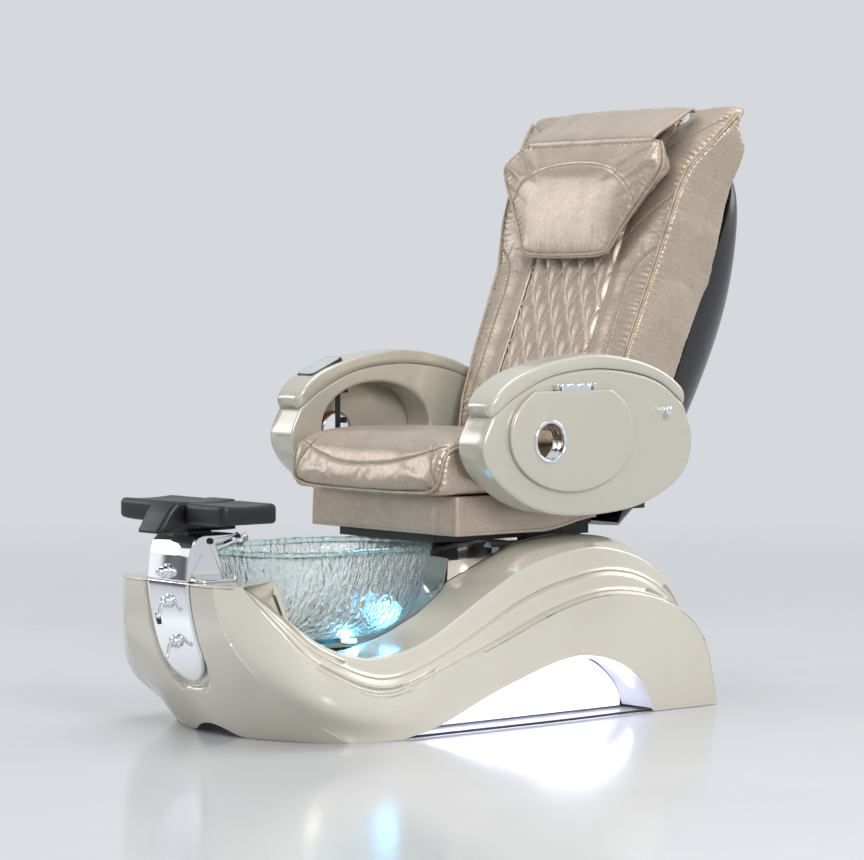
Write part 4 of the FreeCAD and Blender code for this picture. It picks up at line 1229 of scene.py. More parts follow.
for side, label in ((1, "left"), (-1, "right")):
    pad = footrest_pad("foot_pad_" + label, side)
    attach(pad, "footrest")
    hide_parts("footrest_pad_" + label)
CENTRE = [(-.812, .462), (-.806, .474), (-.786, .505), (-.768, .524), (-.755, .5275), (-.680, .5225),
          (-.612, .527),
          (-.604, .518), (-.604, .468), (-.612, .460), (-.700, .460), (-.800, .458)]
CENTRE_HALF = .0478
centre_pad = slab("foot_centre", dense_outline(CENTRE, 130), side_place, -CENTRE_HALF, CENTRE_HALF, .010,
                  URETHANE,
                  caps=8, steps=6)
points = coords(centre_pad)
share = np.clip((-.745 - points[:, 1]) / .067, 0, 1)
points[:, 0] *= 1 - .16 * share ** 2
points[:, 2] += .0018 * (1 - (points[:, 0] / .048) ** 2) * (points[:, 2] > .50)
set_coords(centre_pad, points)
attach(centre_pad, "footrest")
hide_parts("footrest_centre")

# ------------------------------------------------------------------ upholstery helpers
def wrinkle(obj, amplitude, stretch, scale, seed, mask=None):
    """Soft folds along a chosen direction: stretch is how quickly they change along each axis."""
    points = coords(obj)
    height = noise3(points * np.asarray(stretch), scale, seed) * amplitude
    if mask is not None:
        height *= mask(points)
    set_coords(obj, points + normals_of(obj) * height[:, None])


GATHERS = 400


def ruche(obj, line, reach, amplitude, spacing, seed):
    """Short gathers that run away from a seam, as where leather is eased into piping."""
    lengths = run_lengths(line)
    tree = line_tree(line)
    local = np.random.default_rng(seed)
    phase = np.cumsum(local.uniform(.6, 1.5, GATHERS))
    strength = local.uniform(.3, 1.0, GATHERS)
    points = coords(obj)
    height = np.zeros(len(points))
    for i, p in enumerate(points):
        _, index, distance = tree.find(p)
        if distance < reach:
            place = lengths[index] / spacing
            wave = math.cos(2 * math.pi * np.interp(place, phase, np.arange(GATHERS)))
            fade = (1 - distance / reach) ** 2 * min(1, distance / .006)
            height[i] = amplitude * wave * fade * strength[int(place) % GATHERS]
    set_coords(obj, points + normals_of(obj) * height[:, None])


def seam(name, obj, line, body, direction, width=.0035, depth=.0030, lift=.0003, radius=.0008):
    """A sunk seam with its stitched thread lying in it."""
    line = on_surface(obj, line, direction)
    groove(obj, line, width, depth)
    line = on_surface(obj, line, direction, lift=lift)
    stitches = tube(name, line, radius * (1 + .35 * np.sin(np.arange(len(line)) * 1.9)), THREAD, 6)
    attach(stitches, body)
    return line


def piping(name, line, body, radius, closed=False):
    """A covered cord, slightly uneven, that lies along a seam."""
    wobble = 1 + .05 * np.sin(np.arange(len(line)) * .9) + .04 * np.sin(np.arange(len(line)) * .37 + 1)
    cord = tube(name, line, radius * wobble, PIPING, 12, closed=closed)
    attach(cord, body)
    return cord


# ------------------------------------------------------------------ seat cushion
SEAT_SIDE = [(-.196, .528), (-.207, .545), (-.209, .585), (-.202, .622), (-.182, .641), (-.140, .650),
             (-.060, .655),
             (.060, .656), (.180, .652), (.240, .645), (.254, .620), (.256, .560), (.248, .532), (.150, .527),
             (0, .527), (-.120, .527)]
seat = slab("seat_pad", dense_outline(SEAT_SIDE, 150), side_place, -.280, .280, .026, LEATHER, caps=10,
            bulge=.003,
            bulge_far=.003, steps=7)
seat = inflate(seat, .006, 4.0, 20, .012, lambda p: p[:, 2] < .530)
edge_half = [(.279, .250, .640), (.281, .100, .647), (.281, -.060, .646), (.280, -.150, .638),
             (.279, -.190, .618),
             (.277, -.203, .585), (.268, -.207, .556), (.246, -.207, .538), (.206, -.207, .528),
             (.120, -.207, .521),
             (0, -.207, .519)]
edge_path = smooth_path(edge_half + [(-x, y, z) for x, y, z in edge_half[-2::-1]], 420)
seat_tree = BVHTree.FromObject(seat, bpy.context.evaluated_depsgraph_get())
edge_line = []
for p in edge_path:
    hit, normal, _, _ = seat_tree.find_nearest(Vector(p))
    edge_line.append(np.array(hit + normal * .0016))
edge_line = smooth_path(np.array(edge_line)[::6], 420)
groove(seat, edge_line, .007, .0035)
ruche(seat, edge_line, .045, .0017, .012, 4)
wrinkle(seat, .0016, (1, 1, .8), 15, 11)
wrinkle(seat, .0010, (2.2, .7, 1.6), 40, 12, lambda p: smoothstep(-.10, -.20, p[:, 1]))
arc = smooth_path([(-.262, -.2, .640), (-.211, -.2, .621), (-.150, -.2, .601), (-.060, -.2, .590),
                   (.060, -.2, .594),
                   (.150, -.2, .610), (.211, -.2, .626), (.262, -.2, .640)], 300)
seam("seat_arc_seam", seat, arc, "seat", (0, 1, 0))
for side in (1, -1):
    gusset = smooth_path([(side * .214, -.2, .640), (side * .232, -.2, .610), (side * .248, -.2, .578),
                          (side * .258, -.2, .552)], 120)
    seam("seat_gusset_seam_" + ("left" if side > 0 else "right"), seat, gusset, "seat", (0, 1, 0))
shade_smooth(seat)
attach(seat, "seat")
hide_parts("seat_cushion")
piping("seat_piping", edge_line, "seat", .0040)

# ------------------------------------------------------------------ seat skirt
SKIRT_TOP, SKIRT_BOTTOM, SKIRT_LIFT, SKIRT_THICK = .524, .434, .026, .0035
skirt_rows = []
skirt_ring = dense_outline(box_outline(-.272, .272, -.154, .286, 40, 600), 500)
for share in np.linspace(0, 1, 22):
    ring = shrink(skirt_ring, .004 * (1 - share) ** 2)
    bottom = SKIRT_BOTTOM + SKIRT_LIFT * smoothstep(.10, .28, ring[:, 1])
    z = SKIRT_TOP + (bottom - SKIRT_TOP) * share
    point = np.column_stack([ring, z])
    fold = noise3(np.column_stack([ring, z * .35]), 26, 21, 3) * .0022 * (.25 + share)
    fold += .004 * np.exp(-((ring[:, 0] - .20) / .012) ** 2) * (ring[:, 1] < -.1) * share
    tangent = np.roll(ring, -1, 0) - np.roll(ring, 1, 0)
    tangent /= np.linalg.norm(tangent, axis=1)[:, None]
    point[:, 0] += tangent[:, 1] * fold
    point[:, 1] -= tangent[:, 0] * fold
    skirt_rows.append(point)
inside_rows = []
for row in skirt_rows[::-1]:
    inner = row.copy()
    inner[:, :2] = shrink(row[:, :2], SKIRT_THICK)
    inside_rows.append(inner)
skirt = weld(grid_mesh("seat_valance", skirt_rows + inside_rows, LEATHER, wrap_cols=True, wrap_rows=True),
             1e-6)
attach(skirt, "seat")
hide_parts("seat_skirt")
hem = np.array(skirt_rows[-1])[::2] + np.array([0, 0, .007])
hem_stitch = tube("valance_hem_stitch", hem, .0007, THREAD, 6, closed=True)
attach(hem_stitch, "seat")

# ------------------------------------------------------------------ backrest
# sine and cosine of the back's lean, 23 degrees from upright
BACK_SIN, BACK_COS = .3907, .9205
BACK_ORIGIN = (.360, .490)


def back_points(x, t, s):
    """Backrest coordinates (across, depth, along the back) as points of the chair."""
    x, t, s = np.broadcast_arrays(np.asarray(x, float), np.asarray(t, float), np.asarray(s, float))
    return np.stack([x, BACK_ORIGIN[0] + BACK_COS * t + BACK_SIN * s,
                     BACK_ORIGIN[1] - BACK_SIN * t + BACK_COS * s], axis=-1)


FORWARD = (0, BACK_COS, -BACK_SIN)
FRONT_S = [.118, .170, .250, .500, .760, .880, .968]
FRONT_T = [-.112, -.134, -.140, -.140, -.140, -.112, -.080]
EDGE_S = [.110, .120, .200, .330, .546, .670, .750, .806, .885, .945, .990]
EDGE_X = [.246, .250, .262, .273, .281, .300, .305, .315, .349, .365, .369]
EDGE_T = [-.116, -.120, -.130, -.131, -.132, -.148, -.151, -.148, -.126, -.106, -.088]
REAR_S = [.110, .350, .460, .580, .690, .800, .840, .876, .905, .920, .935, .950, .990]
REAR_T = [.038, .040, .040, .044, .020, -.002, -.012, -.020, -.032, -.056, -.076, -.082, -.072]
QUILT_WIDE, QUILT_TALL = .058, .098
PANEL_HALF = .1475


def front_t(s):
    """Depth of the quilted face at a distance along the back."""
    return np.interp(s, FRONT_S, FRONT_T)


# the diamonds end under the pillow, so the rows are dense only as far as they can be seen
QUILT_START, QUILT_END, QUILT_DEEP, QUILT_PUFF = .114, .640, .0080, .36
STITCH_SINK = .0006
quilt_rows = []
quilt_across = np.linspace(-1, 1, 150)
for s in np.concatenate([np.linspace(QUILT_START, QUILT_END, 330), np.linspace(.650, .955, 40)]):
    x = quilt_across * PANEL_HALF
    a = x / QUILT_WIDE + s / QUILT_TALL
    b = x / QUILT_WIDE - s / QUILT_TALL
    puff = np.abs(np.sin(math.pi * a) * np.sin(math.pi * b)) ** QUILT_PUFF
    side_fade = smoothstep(PANEL_HALF, PANEL_HALF - .016, np.abs(x))
    ends = smoothstep(QUILT_START, .130, s)
    t = front_t(s) + QUILT_DEEP - (QUILT_DEEP * puff + .006) * side_fade * ends
    end_round = .020 * (1 - ends)
    front = back_points(x, t + end_round, s)
    rear = back_points(x[::-1], np.full(len(x), min(front_t(s) + .070, -.024)), s)
    quilt_rows.append(np.concatenate([front, rear[::10]]))
caps = [np.repeat(row.mean(0)[None], len(row), 0) for row in (quilt_rows[0], quilt_rows[-1])]
quilt_rows = [caps[0]] + quilt_rows + [caps[1]]
quilt = weld(grid_mesh("quilted_panel", quilt_rows, LEATHER, wrap_cols=True), 1e-6)
wrinkle(quilt, .0007, (1, 1, 1), 60, 31)
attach(quilt, "back")
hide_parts("back_cushion")
# pale, wide thread tubes along the diamond lines: real stitching whose lightness is partly painted highlight
stitch_and_highlight_parts = []
for way in (1, -1):
    for k in range(-9, 16):
        line = []
        for s in np.linspace(.120, QUILT_END, 150):
            # along each line x/wide +- s/tall stays whole
            x = (k - way * s / QUILT_TALL) * QUILT_WIDE
            if abs(x) < PANEL_HALF - .004:
                line.append(back_points(x, front_t(s) + STITCH_SINK, s))
        if len(line) > 12:
            radius = .0017 * (1 + .3 * np.sin(np.arange(len(line)) * 2.1))
            stitch_and_highlight_parts.append(tube("quilt_stitch_and_highlight", np.array(line), radius, QUILT_THREAD_AND_HIGHLIGHT, 6))
quilt_stitches_and_highlights = join("quilt_stitches_and_highlights", stitch_and_highlight_parts)
shade_smooth(quilt_stitches_and_highlights)
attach(quilt_stitches_and_highlights, "back")


def bolster_ring(s, share=1.0):
    """Section of the left bolster, square to the back; share shrinks it towards its middle at the ends."""
    x_edge, t_edge = np.interp(s, EDGE_S, EDGE_X), np.interp(s, EDGE_S, EDGE_T)
    rear = float(np.interp(s, REAR_S, REAR_T))
    inner = float(front_t(s))
    wide = x_edge - PANEL_HALF
    ring = [(PANEL_HALF + .0015, inner + .012), (PANEL_HALF + .10 * wide, inner + .001),
            (PANEL_HALF + .30 * wide, inner - .007),
            (PANEL_HALF + .60 * wide, .45 * inner + .55 * t_edge - .009),
            (PANEL_HALF + .86 * wide, .1 * inner + .9 * t_edge - .006), (x_edge, t_edge),
            (x_edge + .006, t_edge + .016), (x_edge + .0095, .55 * t_edge + .45 * rear),
            (x_edge + .006, rear - .012),
            (x_edge - .006, rear), (x_edge - .05, rear + .002), (PANEL_HALF + .06, rear),
            (PANEL_HALF + .0015, rear - .004)]
    ring = dense_outline(ring, 110)
    centre = ring.mean(0)
    return centre + (ring - centre) * share


BOLSTER_FOOT = [(.112, 0), (.112, .5), (.114, .8), (.122, .95)]
BOLSTER_HEAD = [(.980, .93), (.986, .75), (.988, .4), (.988, 0)]
bolster_rows = []
for s, share in BOLSTER_FOOT + [(s, 1.0) for s in np.linspace(.135, .970, 70)] + BOLSTER_HEAD:
    ring = bolster_ring(s, share)
    bolster_rows.append(back_points(ring[:, 0], ring[:, 1], s))
edge_s = np.linspace(.122, .974, 380)
edge_curve = back_points(np.interp(edge_s, EDGE_S, EDGE_X), np.interp(edge_s, EDGE_S, EDGE_T), edge_s)
edge_curve = smooth_path(edge_curve[::12], 380)
rear_curve_s = np.linspace(.122, .925, 380)
rear_curve = back_points(np.interp(rear_curve_s, EDGE_S, EDGE_X) - .001,
                         np.interp(rear_curve_s, REAR_S, REAR_T) - .001,
                         rear_curve_s)
inner_s = np.linspace(.12, .96, 300)
inner_curve = back_points(PANEL_HALF + .002, front_t(inner_s) + .010, inner_s)


def bolster_pins(points):
    """The sewn edges stay where they are while the bolster swells."""
    lines = np.concatenate([edge_curve, inner_curve, rear_curve])
    return near_line(points, lines) < .0065


bolster = weld(grid_mesh("bolster_left", bolster_rows, LEATHER, wrap_cols=True), 1e-6)
bolster = inflate(bolster, .006, 4.0, 20, .008, bolster_pins)
groove(bolster, edge_curve, .0075, .004)
ruche(bolster, edge_curve, .060, .0022, .014, 8)
ruche(bolster, rear_curve, .030, .0010, .012, 9)
wrinkle(bolster, .0013, (.6, 1.0, 1.6), 22, 14)
wrinkle(bolster, .0009, (.7, 1.4, 2.4), 55, 15)
SEAM_T = -.15
long_seam = smooth_path([back_points(x, SEAM_T, s) for x, s in
                         [(.288, .600), (.255, .578), (.228, .548), (.216, .510), (.214, .440), (.219, .320),
                          (.222, .200), (.220, .130)]], 420)
wing_seam = smooth_path([back_points(x, SEAM_T + .03, s)
                         for x, s in [(.301, .732), (.260, .702), (.210, .664), (.162, .622)]], 160)
crown_seam = smooth_path([back_points(x, SEAM_T + .05, s)
                          for x, s in [(.181, .852), (.236, .880), (.296, .918), (.348, .950)]], 200)
for label, line in (("long", long_seam), ("wing", wing_seam), ("crown", crown_seam)):
    line = seam("bolster_" + label + "_seam_left", bolster, line, "back", FORWARD)
    ruche(bolster, line, .028, .0009, .012, 17)
for piece, label in ((bolster, "left"), (mirror_x(bolster, "bolster_right"), "right")):
    shade_smooth(piece)
    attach(piece, "back")
    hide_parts("back_bolster_" + label)
for label in ("long", "wing", "crown"):
    copy = mirror_x(bpy.data.objects["bolster_" + label + "_seam_left"], "bolster_" + label + "_seam_right")
    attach(copy, "back")
# two cords lie side by side along the outer edge
CORD_RADIUS = .0036
for k, shift in enumerate((-1, 1)):
    cord_line = edge_curve + shift * CORD_RADIUS * np.array([.75, .55, -.25]) + np.array([0, -.001, .001])
    cord = piping("back_piping_left_" + str(k), cord_line, "back", CORD_RADIUS)
    copy = mirror_x(cord, "back_piping_right_" + str(k))
    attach(copy, "back")

# ------------------------------------------------------------------ head pillow and its strap
PILLOW_FRONT_S = [.550, .566, .690, .790, .850, .870]
PILLOW_FRONT_T = [-.180, -.184, -.210, -.226, -.210, -.200]
PILLOW_BACK = -.166
PILLOW_DEEP = .044
PILLOW_HALF = [(0, .558), (.100, .560), (.142, .566), (.160, .582), (.182, .622), (.226, .690),
               (.268, .752), (.280, .778),
               (.276, .798), (.248, .838), (.224, .850), (.120, .854), (0, .855)]
PILLOW = PILLOW_HALF + [(-x, s) for x, s in PILLOW_HALF[-2:0:-1]]


def pillow_place(points, depth):
    """Outline across and along the back, depth from the pillow's rear towards its curved front."""
    deep = PILLOW_BACK - np.interp(points[:, 1], PILLOW_FRONT_S, PILLOW_FRONT_T)
    return back_points(points[:, 0], PILLOW_BACK - depth / PILLOW_DEEP * deep, points[:, 1])


pillow_outline = dense_outline(PILLOW, 200)
pillow = slab("pillow_pad", pillow_outline, pillow_place, 0, PILLOW_DEEP, .010, LEATHER, radius_far=.016,
              caps=12,
              bulge_far=.004, steps=7)
pillow_edge = pillow_place(shrink(pillow_outline, .004), .030)
pillow = inflate(pillow, .005, 5.0, 20, .015, lambda p: near_line(p, pillow_edge) < .005)
groove(pillow, pillow_edge, .006, .003)
ruche(pillow, pillow_edge, .050, .0020, .013, 23)
wrinkle(pillow, .0016, (1.5, 1, .7), 18, 24)
wrinkle(pillow, .0012, (2.6, 1, .5), 40, 25, lambda p: smoothstep(1.22, 1.08, p[:, 2]))
ARCH_HALF = [(-.226, .668), (-.206, .712), (-.160, .750), (-.090, .776), (0, .784)]
arch = smooth_path([back_points(x, -.22, s)
                    for x, s in ARCH_HALF + [(-x, s) for x, s in ARCH_HALF[-2::-1]]], 360)
seam("pillow_arch_seam", pillow, arch, "pillow", FORWARD, .004, .0034)
shade_smooth(pillow)
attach(pillow, "pillow")
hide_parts("head_pillow")
for k, depth in enumerate((.0262, .0350)):
    line = pillow_place(shrink(pillow_outline, -.0008 + .0035 * k), depth)
    piping("pillow_piping_" + str(k), line, "pillow", CORD_RADIUS, closed=True)

STRAP = [(-.196, .838), (-.206, .852), (-.196, .872), (-.176, .896), (-.156, .920), (-.138, .944),
         (-.124, .962),
         (-.112, .972), (-.104, .968)]
STRAP_ROWS, STRAP_COLUMNS, STRAP_HALF_THICK = 60, 90, .003
strap_path = smooth_path(STRAP, STRAP_ROWS)
across = np.linspace(-1, 1, STRAP_COLUMNS)
strap_rows = []
for k, (t, s) in enumerate(strap_path):
    half = np.interp(k, [0, 12, STRAP_ROWS - 1], [.222, .230, .226])
    ahead = strap_path[min(k + 1, STRAP_ROWS - 1)] - strap_path[max(k - 1, 0)]
    ahead /= np.linalg.norm(ahead)
    normal = np.array([-ahead[1], ahead[0]])
    place = np.column_stack([across * .23, np.full(STRAP_COLUMNS, s), np.full(STRAP_COLUMNS, t)])
    puff = .0045 * (1 - across ** 4) + noise3(place * np.array([2.2, .8, 1]), 30, 33, 3) * .0016
    thick = np.concatenate([puff + STRAP_HALF_THICK, -np.full(STRAP_COLUMNS, STRAP_HALF_THICK)])
    x = np.concatenate([across, across[::-1]]) * half
    strap_rows.append(back_points(x, t + normal[0] * thick, s + normal[1] * thick))
# a last row at each end folds the two faces together
folds = [np.concatenate([row[:STRAP_COLUMNS], row[:STRAP_COLUMNS][::-1]])
         for row in (strap_rows[0], strap_rows[-1])]
strap_rows = [folds[0]] + strap_rows + [folds[1]]
strap = weld(grid_mesh("pillow_strap", strap_rows, LEATHER, wrap_cols=True), 1e-6)
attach(strap, "pillow")
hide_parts("pillow_flap")

# ------------------------------------------------------------------ armrests
ARM_SEAM = [(-.153, .706), (-.100, .744), (-.020, .783), (.060, .804), (.170, .812), (.285, .800),
            (.370, .774), (.441, .724)]
ARM_LOWER = [(.441, .724), (.468, .645), (.444, .568), (.361, .514), (.249, .484), (.078, .478),
             (-.044, .506),
             (-.146, .573), (-.180, .641), (-.153, .706)]
CAP_TOP = [(-.163, .736), (-.112, .781), (-.045, .811), (.060, .836), (.170, .846), (.290, .830),
           (.375, .802),
           (.428, .768), (.450, .740)]
WINDOW_AT, WINDOW_A, WINDOW_B = (.082, .662), .168, .106
TRAY_A, TRAY_B, TRAY_CUT = .190, .128, .765
CUP_AT, CUP_R = (.008, .650), .0428
ARM_NEAR, ARM_FAR = .308, .398


def blunt(runs, count):
    """Outline of smooth runs whose corners are kept."""
    return dense_outline(np.vstack([smooth_path(run, 60)[:-1] for run in runs]), count, smooth=False)


arm_outline = blunt([ARM_SEAM, ARM_LOWER], 240)
arm_outline = (np.roll(arm_outline, 1, 0) + 2 * arm_outline + np.roll(arm_outline, -1, 0)) / 4
window = hole_for(arm_outline, WINDOW_AT, WINDOW_A, WINDOW_B)
BEVEL, WINDOW_NEAR_EDGE, WINDOW_FAR_EDGE = .0045, .006, .004
FAR_EDGE = [(0, .340), (0, .370), (0, .3915), (.0005, .3930), (.0016, .3946), (.0036, .3966), (.0058, .3976),
            (.0085, ARM_FAR)]


def arm_ring(inset, x):
    """The arm's outline, drawn in by an inset, at a distance from the middle of the chair."""
    return side_place(shrink(arm_outline, inset), x)


def window_ring(grow, x):
    """The opening's outline, widened by an amount."""
    return side_place(shrink(window, -grow), x)


def face_rings(x, inset, grow):
    """Rings of a flat face from the opening out to the edge."""
    return [side_place(shrink(window, -grow) * (1 - f) + shrink(arm_outline, inset) * f, x)
            for f in np.linspace(0, 1, 8)]


def rounding(radius, start, stop, steps):
    """Pairs of (what is left of the radius, how far round) along a quarter turn."""
    return [(radius * (1 - math.sin(a * math.pi / 2)), radius * (1 - math.cos(a * math.pi / 2)))
            for a in np.linspace(start, stop, steps)]


arm_rows = face_rings(ARM_NEAR, BEVEL, WINDOW_NEAR_EDGE)
arm_rows += [arm_ring(left, ARM_NEAR + gone) for left, gone in rounding(BEVEL, .2, 1, 6)]
arm_rows += [arm_ring(inset, x) for inset, x in FAR_EDGE]
arm_rows += face_rings(ARM_FAR, .0120, WINDOW_FAR_EDGE)[::-1]
arm_rows += [window_ring(left, ARM_FAR - gone) for left, gone in rounding(WINDOW_FAR_EDGE, .25, 1, 4)]
arm_rows += [window_ring(0, x) for x in (.375, .345, .320)]
arm_rows += [window_ring(gone, ARM_NEAR + left) for left, gone in rounding(WINDOW_NEAR_EDGE, 0, .75, 4)]
arm = weld(grid_mesh("arm_disc_left", arm_rows, ARM_PEARL, wrap_cols=True, wrap_rows=True))
seam_run, top_run = [resample(side_place(smooth_path(points, 200), 0), 90) for points in (ARM_SEAM, CAP_TOP)]
CAP_NEAR, CAP_FAR, CAP_ROUND, CAP_GAP, CAP_EDGE = .307, .401, .0085, .0008, .003
CAP_TUCK = [.010, .0055, .0025, .0008]
cap_rows = []
for k, (low, high) in enumerate(zip(seam_run, top_run)):
    reach = high - low
    tall = np.linalg.norm(reach)
    rise = reach / tall
    end = min(k, len(seam_run) - 1 - k)
    tuck = CAP_TUCK[end] if end < len(CAP_TUCK) else 0.0
    near, far, crown = CAP_NEAR + tuck, CAP_FAR - tuck, tall - tuck * .4
    quarter = [(CAP_ROUND * (1 - math.cos(a)), CAP_ROUND * (1 - math.sin(a)))
               for a in np.linspace(0, math.pi / 2, 6)]
    section = [(near, CAP_GAP + CAP_EDGE), (near, tall * .4)]
    section += [(near + inward, crown - down) for inward, down in quarter]
    section += [(CAP_NEAR + (CAP_FAR - CAP_NEAR) * share, crown + .0015 * math.sin(math.pi * share))
                for share in (.25, .5, .75)]
    section += [(far - inward, crown - down) for inward, down in quarter[::-1]]
    section += [(far, tall * .4), (far, CAP_GAP + CAP_EDGE), (far - CAP_EDGE, CAP_GAP),
                (near + CAP_EDGE, CAP_GAP)]
    cap_rows.append([low + rise * height + np.array([x, 0, 0]) for x, height in section])
start, finish = np.mean(cap_rows[0], axis=0), np.mean(cap_rows[-1], axis=0)
cap_rows = [[start] * len(cap_rows[0])] + cap_rows + [[finish] * len(cap_rows[0])]
cap = weld(grid_mesh("arm_cap_piece_left", cap_rows, ARM_PEARL, wrap_cols=True), 1e-6)

tray_outline = [(WINDOW_AT[0] + TRAY_A * math.cos(a), WINDOW_AT[1] + TRAY_B * math.sin(a))
                for a in np.linspace(0, 2 * math.pi, 500, endpoint=False)]
tray_outline = dense_outline([(y, min(z, TRAY_CUT - .001)) for y, z in tray_outline], 220, smooth=False)
cup_hole = hole_for(tray_outline, CUP_AT, CUP_R + .0006, CUP_R + .0006)
tray = holed_slab("tray_panel_left", tray_outline, cup_hole, side_place, .3990, .4110, .0035, ARM_PEARL,
                  .0015, 10)
hinge = lathe("hinge_barrel", [(0, .042), (.0040, .042), (.0055, .0435), (.0055, .0690), (.0044, .0698),
                               (.0055, .0706),
                               (.0055, .1030), (.0044, .1038), (.0055, .1046), (.0055, .1305),
                               (.0040, .132), (0, .132)],
              (.407, 0, .774), (0, 1, 0), CHROME, 24)
leaf = slab("hinge_leaf", box_outline(.043, .131, .7600, .7715, 8, 64), side_place, .4000, .4116, .0008,
            CHROME, caps=3, steps=3)
sleeve = lathe("cup_sleeve", [(.0430, .374), (.0454, .374), (.0460, .376), (.0460, .396), (.0448, .3985),
                              (.0430, .3985)],
               (0, *CUP_AT), (1, 0, 0), COPPER_PLASTIC, 56, closed=True)
tray = join("tray_left_piece", [tray, sleeve])
shade_smooth(tray)
hinge = shade_smooth(join("tray_hinge_left", [hinge, leaf]))
CUP_RING = [(.0400, .373), (.0428, .373), (.0428, .411), (.0478, .4112), (.0490, .4120), (.0489, .4134),
            (.0474, .4146),
            (.0450, .4150), (.0428, .4144), (.0412, .4128), (.0404, .4095), (.0400, .404), (.0398, .395),
            (.0404, .3935),
            (.0402, .392), (.0396, .380)]
cup = lathe("cup_holder_left", CUP_RING, (0, *CUP_AT), (1, 0, 0), CHROME, 72, closed=True)
HOOK = [(0, .3975), (.0068, .3975), (.0075, .399), (.0070, .4008), (.0042, .4016), (.0035, .404),
        (.0036, .412),
        (.0058, .4165), (.0092, .4178), (.0102, .4195), (.0100, .4225), (.0084, .4240), (0, .4244)]
hook = lathe("hook_left", HOOK, (0, .368, .712), (1, 0, 0), CHROME, 36)
ear_outline = box_outline(.3985, .4110, .7665, .7805, 6, 40)
ears = join("hinge_ears_left", [slab("ear", ear_outline, front_place, y0, y1, .0012, CHROME, caps=2, steps=3)
                                for y0, y1 in ((.0265, .0335), (.1405, .1475))])
shade_smooth(ears)

for piece, body, node, slot_name in ((arm, "arm", "armrest", "pearl_arm"),
                                     (cap, "arm", "arm_cap", "pearl_arm"),
                                     (ears, "arm", None, "pearl_arm"), (hook, "arm", "purse_hook", "chrome"),
                                     (tray, "tray", "tray", "pearl_arm"), (hinge, "tray", None, "chrome"),
                                     (cup, "tray", "cup_ring", "chrome")):
    copy = mirror_x(piece, piece.name.replace("left",
                                              "right") if "left" in piece.name else piece.name + "_right")
    for item, side in ((piece, "left"), (copy, "right")):
        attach(item, body + "_" + side)
        if node:
            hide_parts(node + "_" + side)

# touch remote, let into the slope at the front of the right cap
REMOTE_AT = np.array([-.353, -.0585, .8035])
REMOTE_ALONG = np.array([0, .916, .401])
REMOTE_UP = np.array([0, -.401, .916])


def remote_place(points, depth):
    """Outline across and along the sloping end of the arm, depth square to it."""
    return REMOTE_AT + points[:, :1] * np.array([1, 0, 0]) + points[:, 1:] * REMOTE_ALONG + depth * REMOTE_UP


remote = slab("remote_body", box_outline(-.032, .032, -.052, .052, 9, 96), remote_place, -.006, .0065,
              .0022, BLACK_SHELL, caps=3)
screen = slab("remote_glass", box_outline(-.029, .029, -.048, .048, 9, 96), remote_place, .0058, .0072,
              .0006, SCREEN, caps=3,
              steps=3)
for piece, slot_name in ((remote, "black_plastic"), (screen, "screen_glass")):
    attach(piece, "arm_right")
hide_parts("touch_remote")

# ------------------------------------------------------------------ materials of the carried-over CAD pieces
CAD_MATERIALS = {
    "base_pan": BLACK_PAINT, "light_panel_left": WHITE_PANEL, "light_panel_right": WHITE_PANEL,
                 "led_strips": LED,
    "bowl_gasket": RUBBER_AND_PAINTED_SHADOW, "drain_fitting": CHROME, "jet_housing": CHROME, "jet_impeller": GREY_PLASTIC,
    "bowl_light": BLUE_LED, "faucet_panel": CHROME, "footrest_housing": CHROME, "housing_flange": CHROME,
    "valve_bodies": BRASS, "diverter_knob": CHROME, "hot_handle": CHROME, "cold_handle": CHROME,
    "power_switch": BLACK_SHELL, "hand_sprayer": CHROME, "footrest_bracket": BLACK_PAINT,
                 "slide_rails": STEEL,
    "seat_carriage": BLACK_PAINT, "seat_pan": PLY, "slide_motor": BLACK_PAINT, "back_frame": BLACK_PAINT,
    "back_shell": BLACK_SHELL, "massage_carriage": BLACK_PAINT, "kneading_roller_left": GREY_PLASTIC,
    "kneading_roller_right": GREY_PLASTIC, "drain_pump": GREY_PLASTIC, "control_box": GREY_PLASTIC,
}
for side in ("_left", "_right"):
    CAD_MATERIALS.update({"tray_hinge_pin" + side: STEEL, "purse_hook" + side: CHROME,
                          "tray_stay" + side: BLACK_PAINT,
                          "cup_ring" + side: CHROME, "armrest" + side: ARM_PEARL, "arm_cap" + side: ARM_PEARL,
                          "tray" + side: ARM_PEARL})
for node, finish in CAD_MATERIALS.items():
    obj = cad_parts[node]
    obj.data.materials.clear()
    obj.data.materials.append(finish)

# ------------------------------------------------------------------ floor, light and camera
FLOOR_RINGS = [0, .6, 1.2, 1.8, 2.4, 3.2, 4.2, 5.6, 7.5, 10, 14]
FLOOR_Z = -.001
floor_angles = np.linspace(0, 2 * math.pi, 72, endpoint=False)
floor = grid_mesh("stage_floor", [[(r * math.cos(a), r * math.sin(a), FLOOR_Z) for a in floor_angles]
                                  for r in FLOOR_RINGS], wrap_cols=True)
floor_paint, n = material("studio_floor")
n.set(Specular_IOR_Level=.5)
n.out("Base Color", n.ramp(n.noise(1.3, 3), (.57, .58, .595), (.60, .61, .625)))
n.roughness(n.noise(5, 4), .10, .17)
# the floor melts into the backdrop with distance
radius = n.add("ShaderNodeVectorMath", operation="LENGTH")
n.link(n.position(), radius.inputs[0])
fade = n.tree.nodes.new("ShaderNodeMapRange")
fade.inputs["From Min"].default_value = 2.0
fade.inputs["From Max"].default_value = 6.5
fade.inputs["To Min"].default_value = 1.0
fade.inputs["To Max"].default_value = 0.0
n.link(radius.outputs["Value"], fade.inputs["Value"])
n.out("Alpha", fade.outputs["Result"])
floor.data.materials.append(floor_paint)

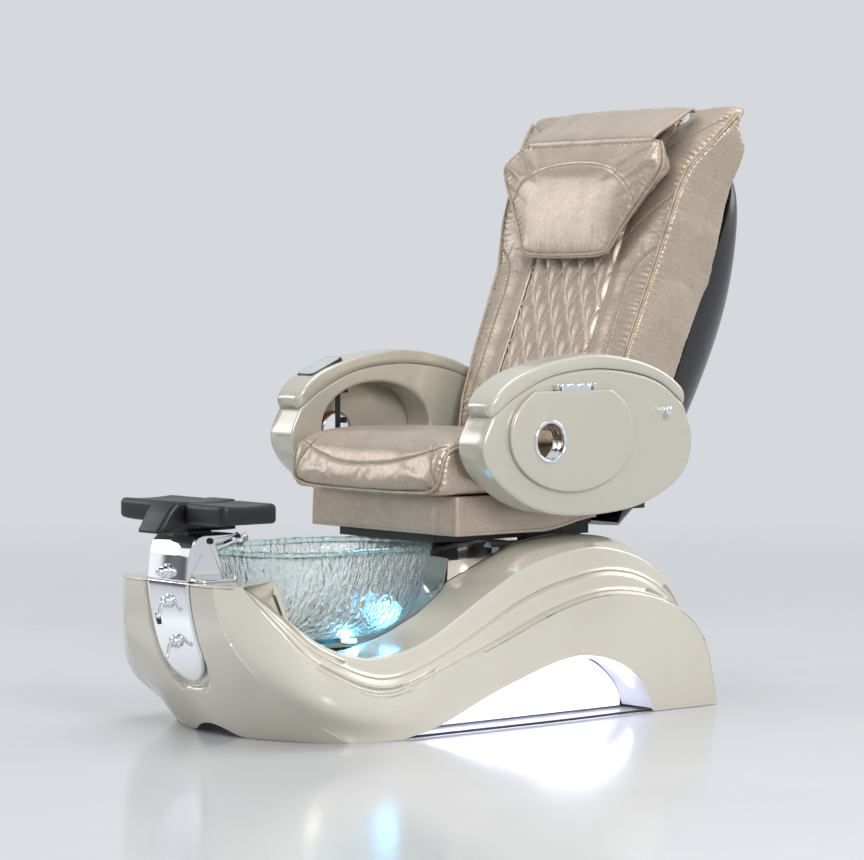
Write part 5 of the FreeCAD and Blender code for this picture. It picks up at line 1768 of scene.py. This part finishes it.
world = bpy.data.worlds.new("studio")
scene.world = world
world.use_nodes = True
tree = world.node_tree
background = tree.nodes["Background"]
direction = tree.nodes.new("ShaderNodeTexCoord").outputs["Generated"]
towards = tree.nodes.new("ShaderNodeVectorMath")
towards.operation = "DOT_PRODUCT"
# dark flags stand in front and to the left of the chair, where polished metal mirrors them
towards.inputs[1].default_value = (-.75, -.65, .05)
tree.links.new(direction, towards.inputs[0])
bands = tree.nodes.new("ShaderNodeValToRGB")
STUDIO = (.665, .688, .716, 1)
stops = [(0.0, STUDIO), (.70, STUDIO), (.80, (.16, .165, .18, 1)), (.885, (.12, .125, .14, 1)),
         (.93, (1.1, 1.12, 1.15, 1)),
         (.972, (1.0, 1.02, 1.05, 1)), (.985, (.10, .10, .11, 1)), (1.0, (.25, .25, .27, 1))]
while len(bands.color_ramp.elements) < len(stops):
    bands.color_ramp.elements.new(.5)
for element, (place, colour) in zip(bands.color_ramp.elements, stops):
    element.position = place
    element.color = colour
tree.links.new(towards.outputs["Value"], bands.inputs["Fac"])
tree.links.new(bands.outputs["Color"], background.inputs["Color"])
background.inputs["Strength"].default_value = 1.0


def area_light(name, place, target, size, power, colour=(1, 1, 1)):
    """A square soft box aimed at a point."""
    data = bpy.data.lights.new(name, "AREA")
    data.shape = "SQUARE"
    data.size = size
    data.energy = power
    data.color = colour
    light = bpy.data.objects.new(name, data)
    light.location = place
    light.rotation_euler = (Vector(target) - Vector(place)).to_track_quat("-Z", "Y").to_euler()
    scene.collection.objects.link(light)


area_light("key_light", (4.4, -1.6, 2.9), (0, 0, .5), 1.5, 125)
area_light("top_light", (0, 0, 4.2), (0, 0, 0), 2.4, 52)
area_light("left_light", (-3.6, -2.4, 2.2), (0, 0, .6), 2.0, 36, (.95, .97, 1))
area_light("rear_light", (1.5, 3.6, 2.4), (0, 0, .8), 1.8, 34)

# spill of the bowl's blue lamp through the glass, left out of mirror reflections
glow_data = bpy.data.lights.new("bowl_glow", "POINT")
glow_data.energy = 1.1
glow_data.color = (.12, .55, 1)
glow_data.shadow_soft_size = .05
bowl_glow = bpy.data.objects.new("bowl_glow", glow_data)
bowl_glow.location = (.110, -.215, .236)
scene.collection.objects.link(bowl_glow)
bowl_glow.visible_glossy = False

camera_data = bpy.data.cameras.new("camera")
camera = bpy.data.objects.new("camera", camera_data)
scene.collection.objects.link(camera)
CAMERA_PLACE = (5.891, -4.899, 1.0)
CAMERA_TURN, CAMERA_TILT = .877, .044
SENSOR_WIDTH, FOCAL_LENGTH = 36, 135.7375
camera.location = CAMERA_PLACE
camera.rotation_euler = (math.pi / 2 - CAMERA_TILT, 0, CAMERA_TURN)
camera_data.sensor_width = SENSOR_WIDTH
camera_data.lens = FOCAL_LENGTH
camera_data.clip_end = 60
scene.camera = camera
scene.view_settings.view_transform = "Standard"
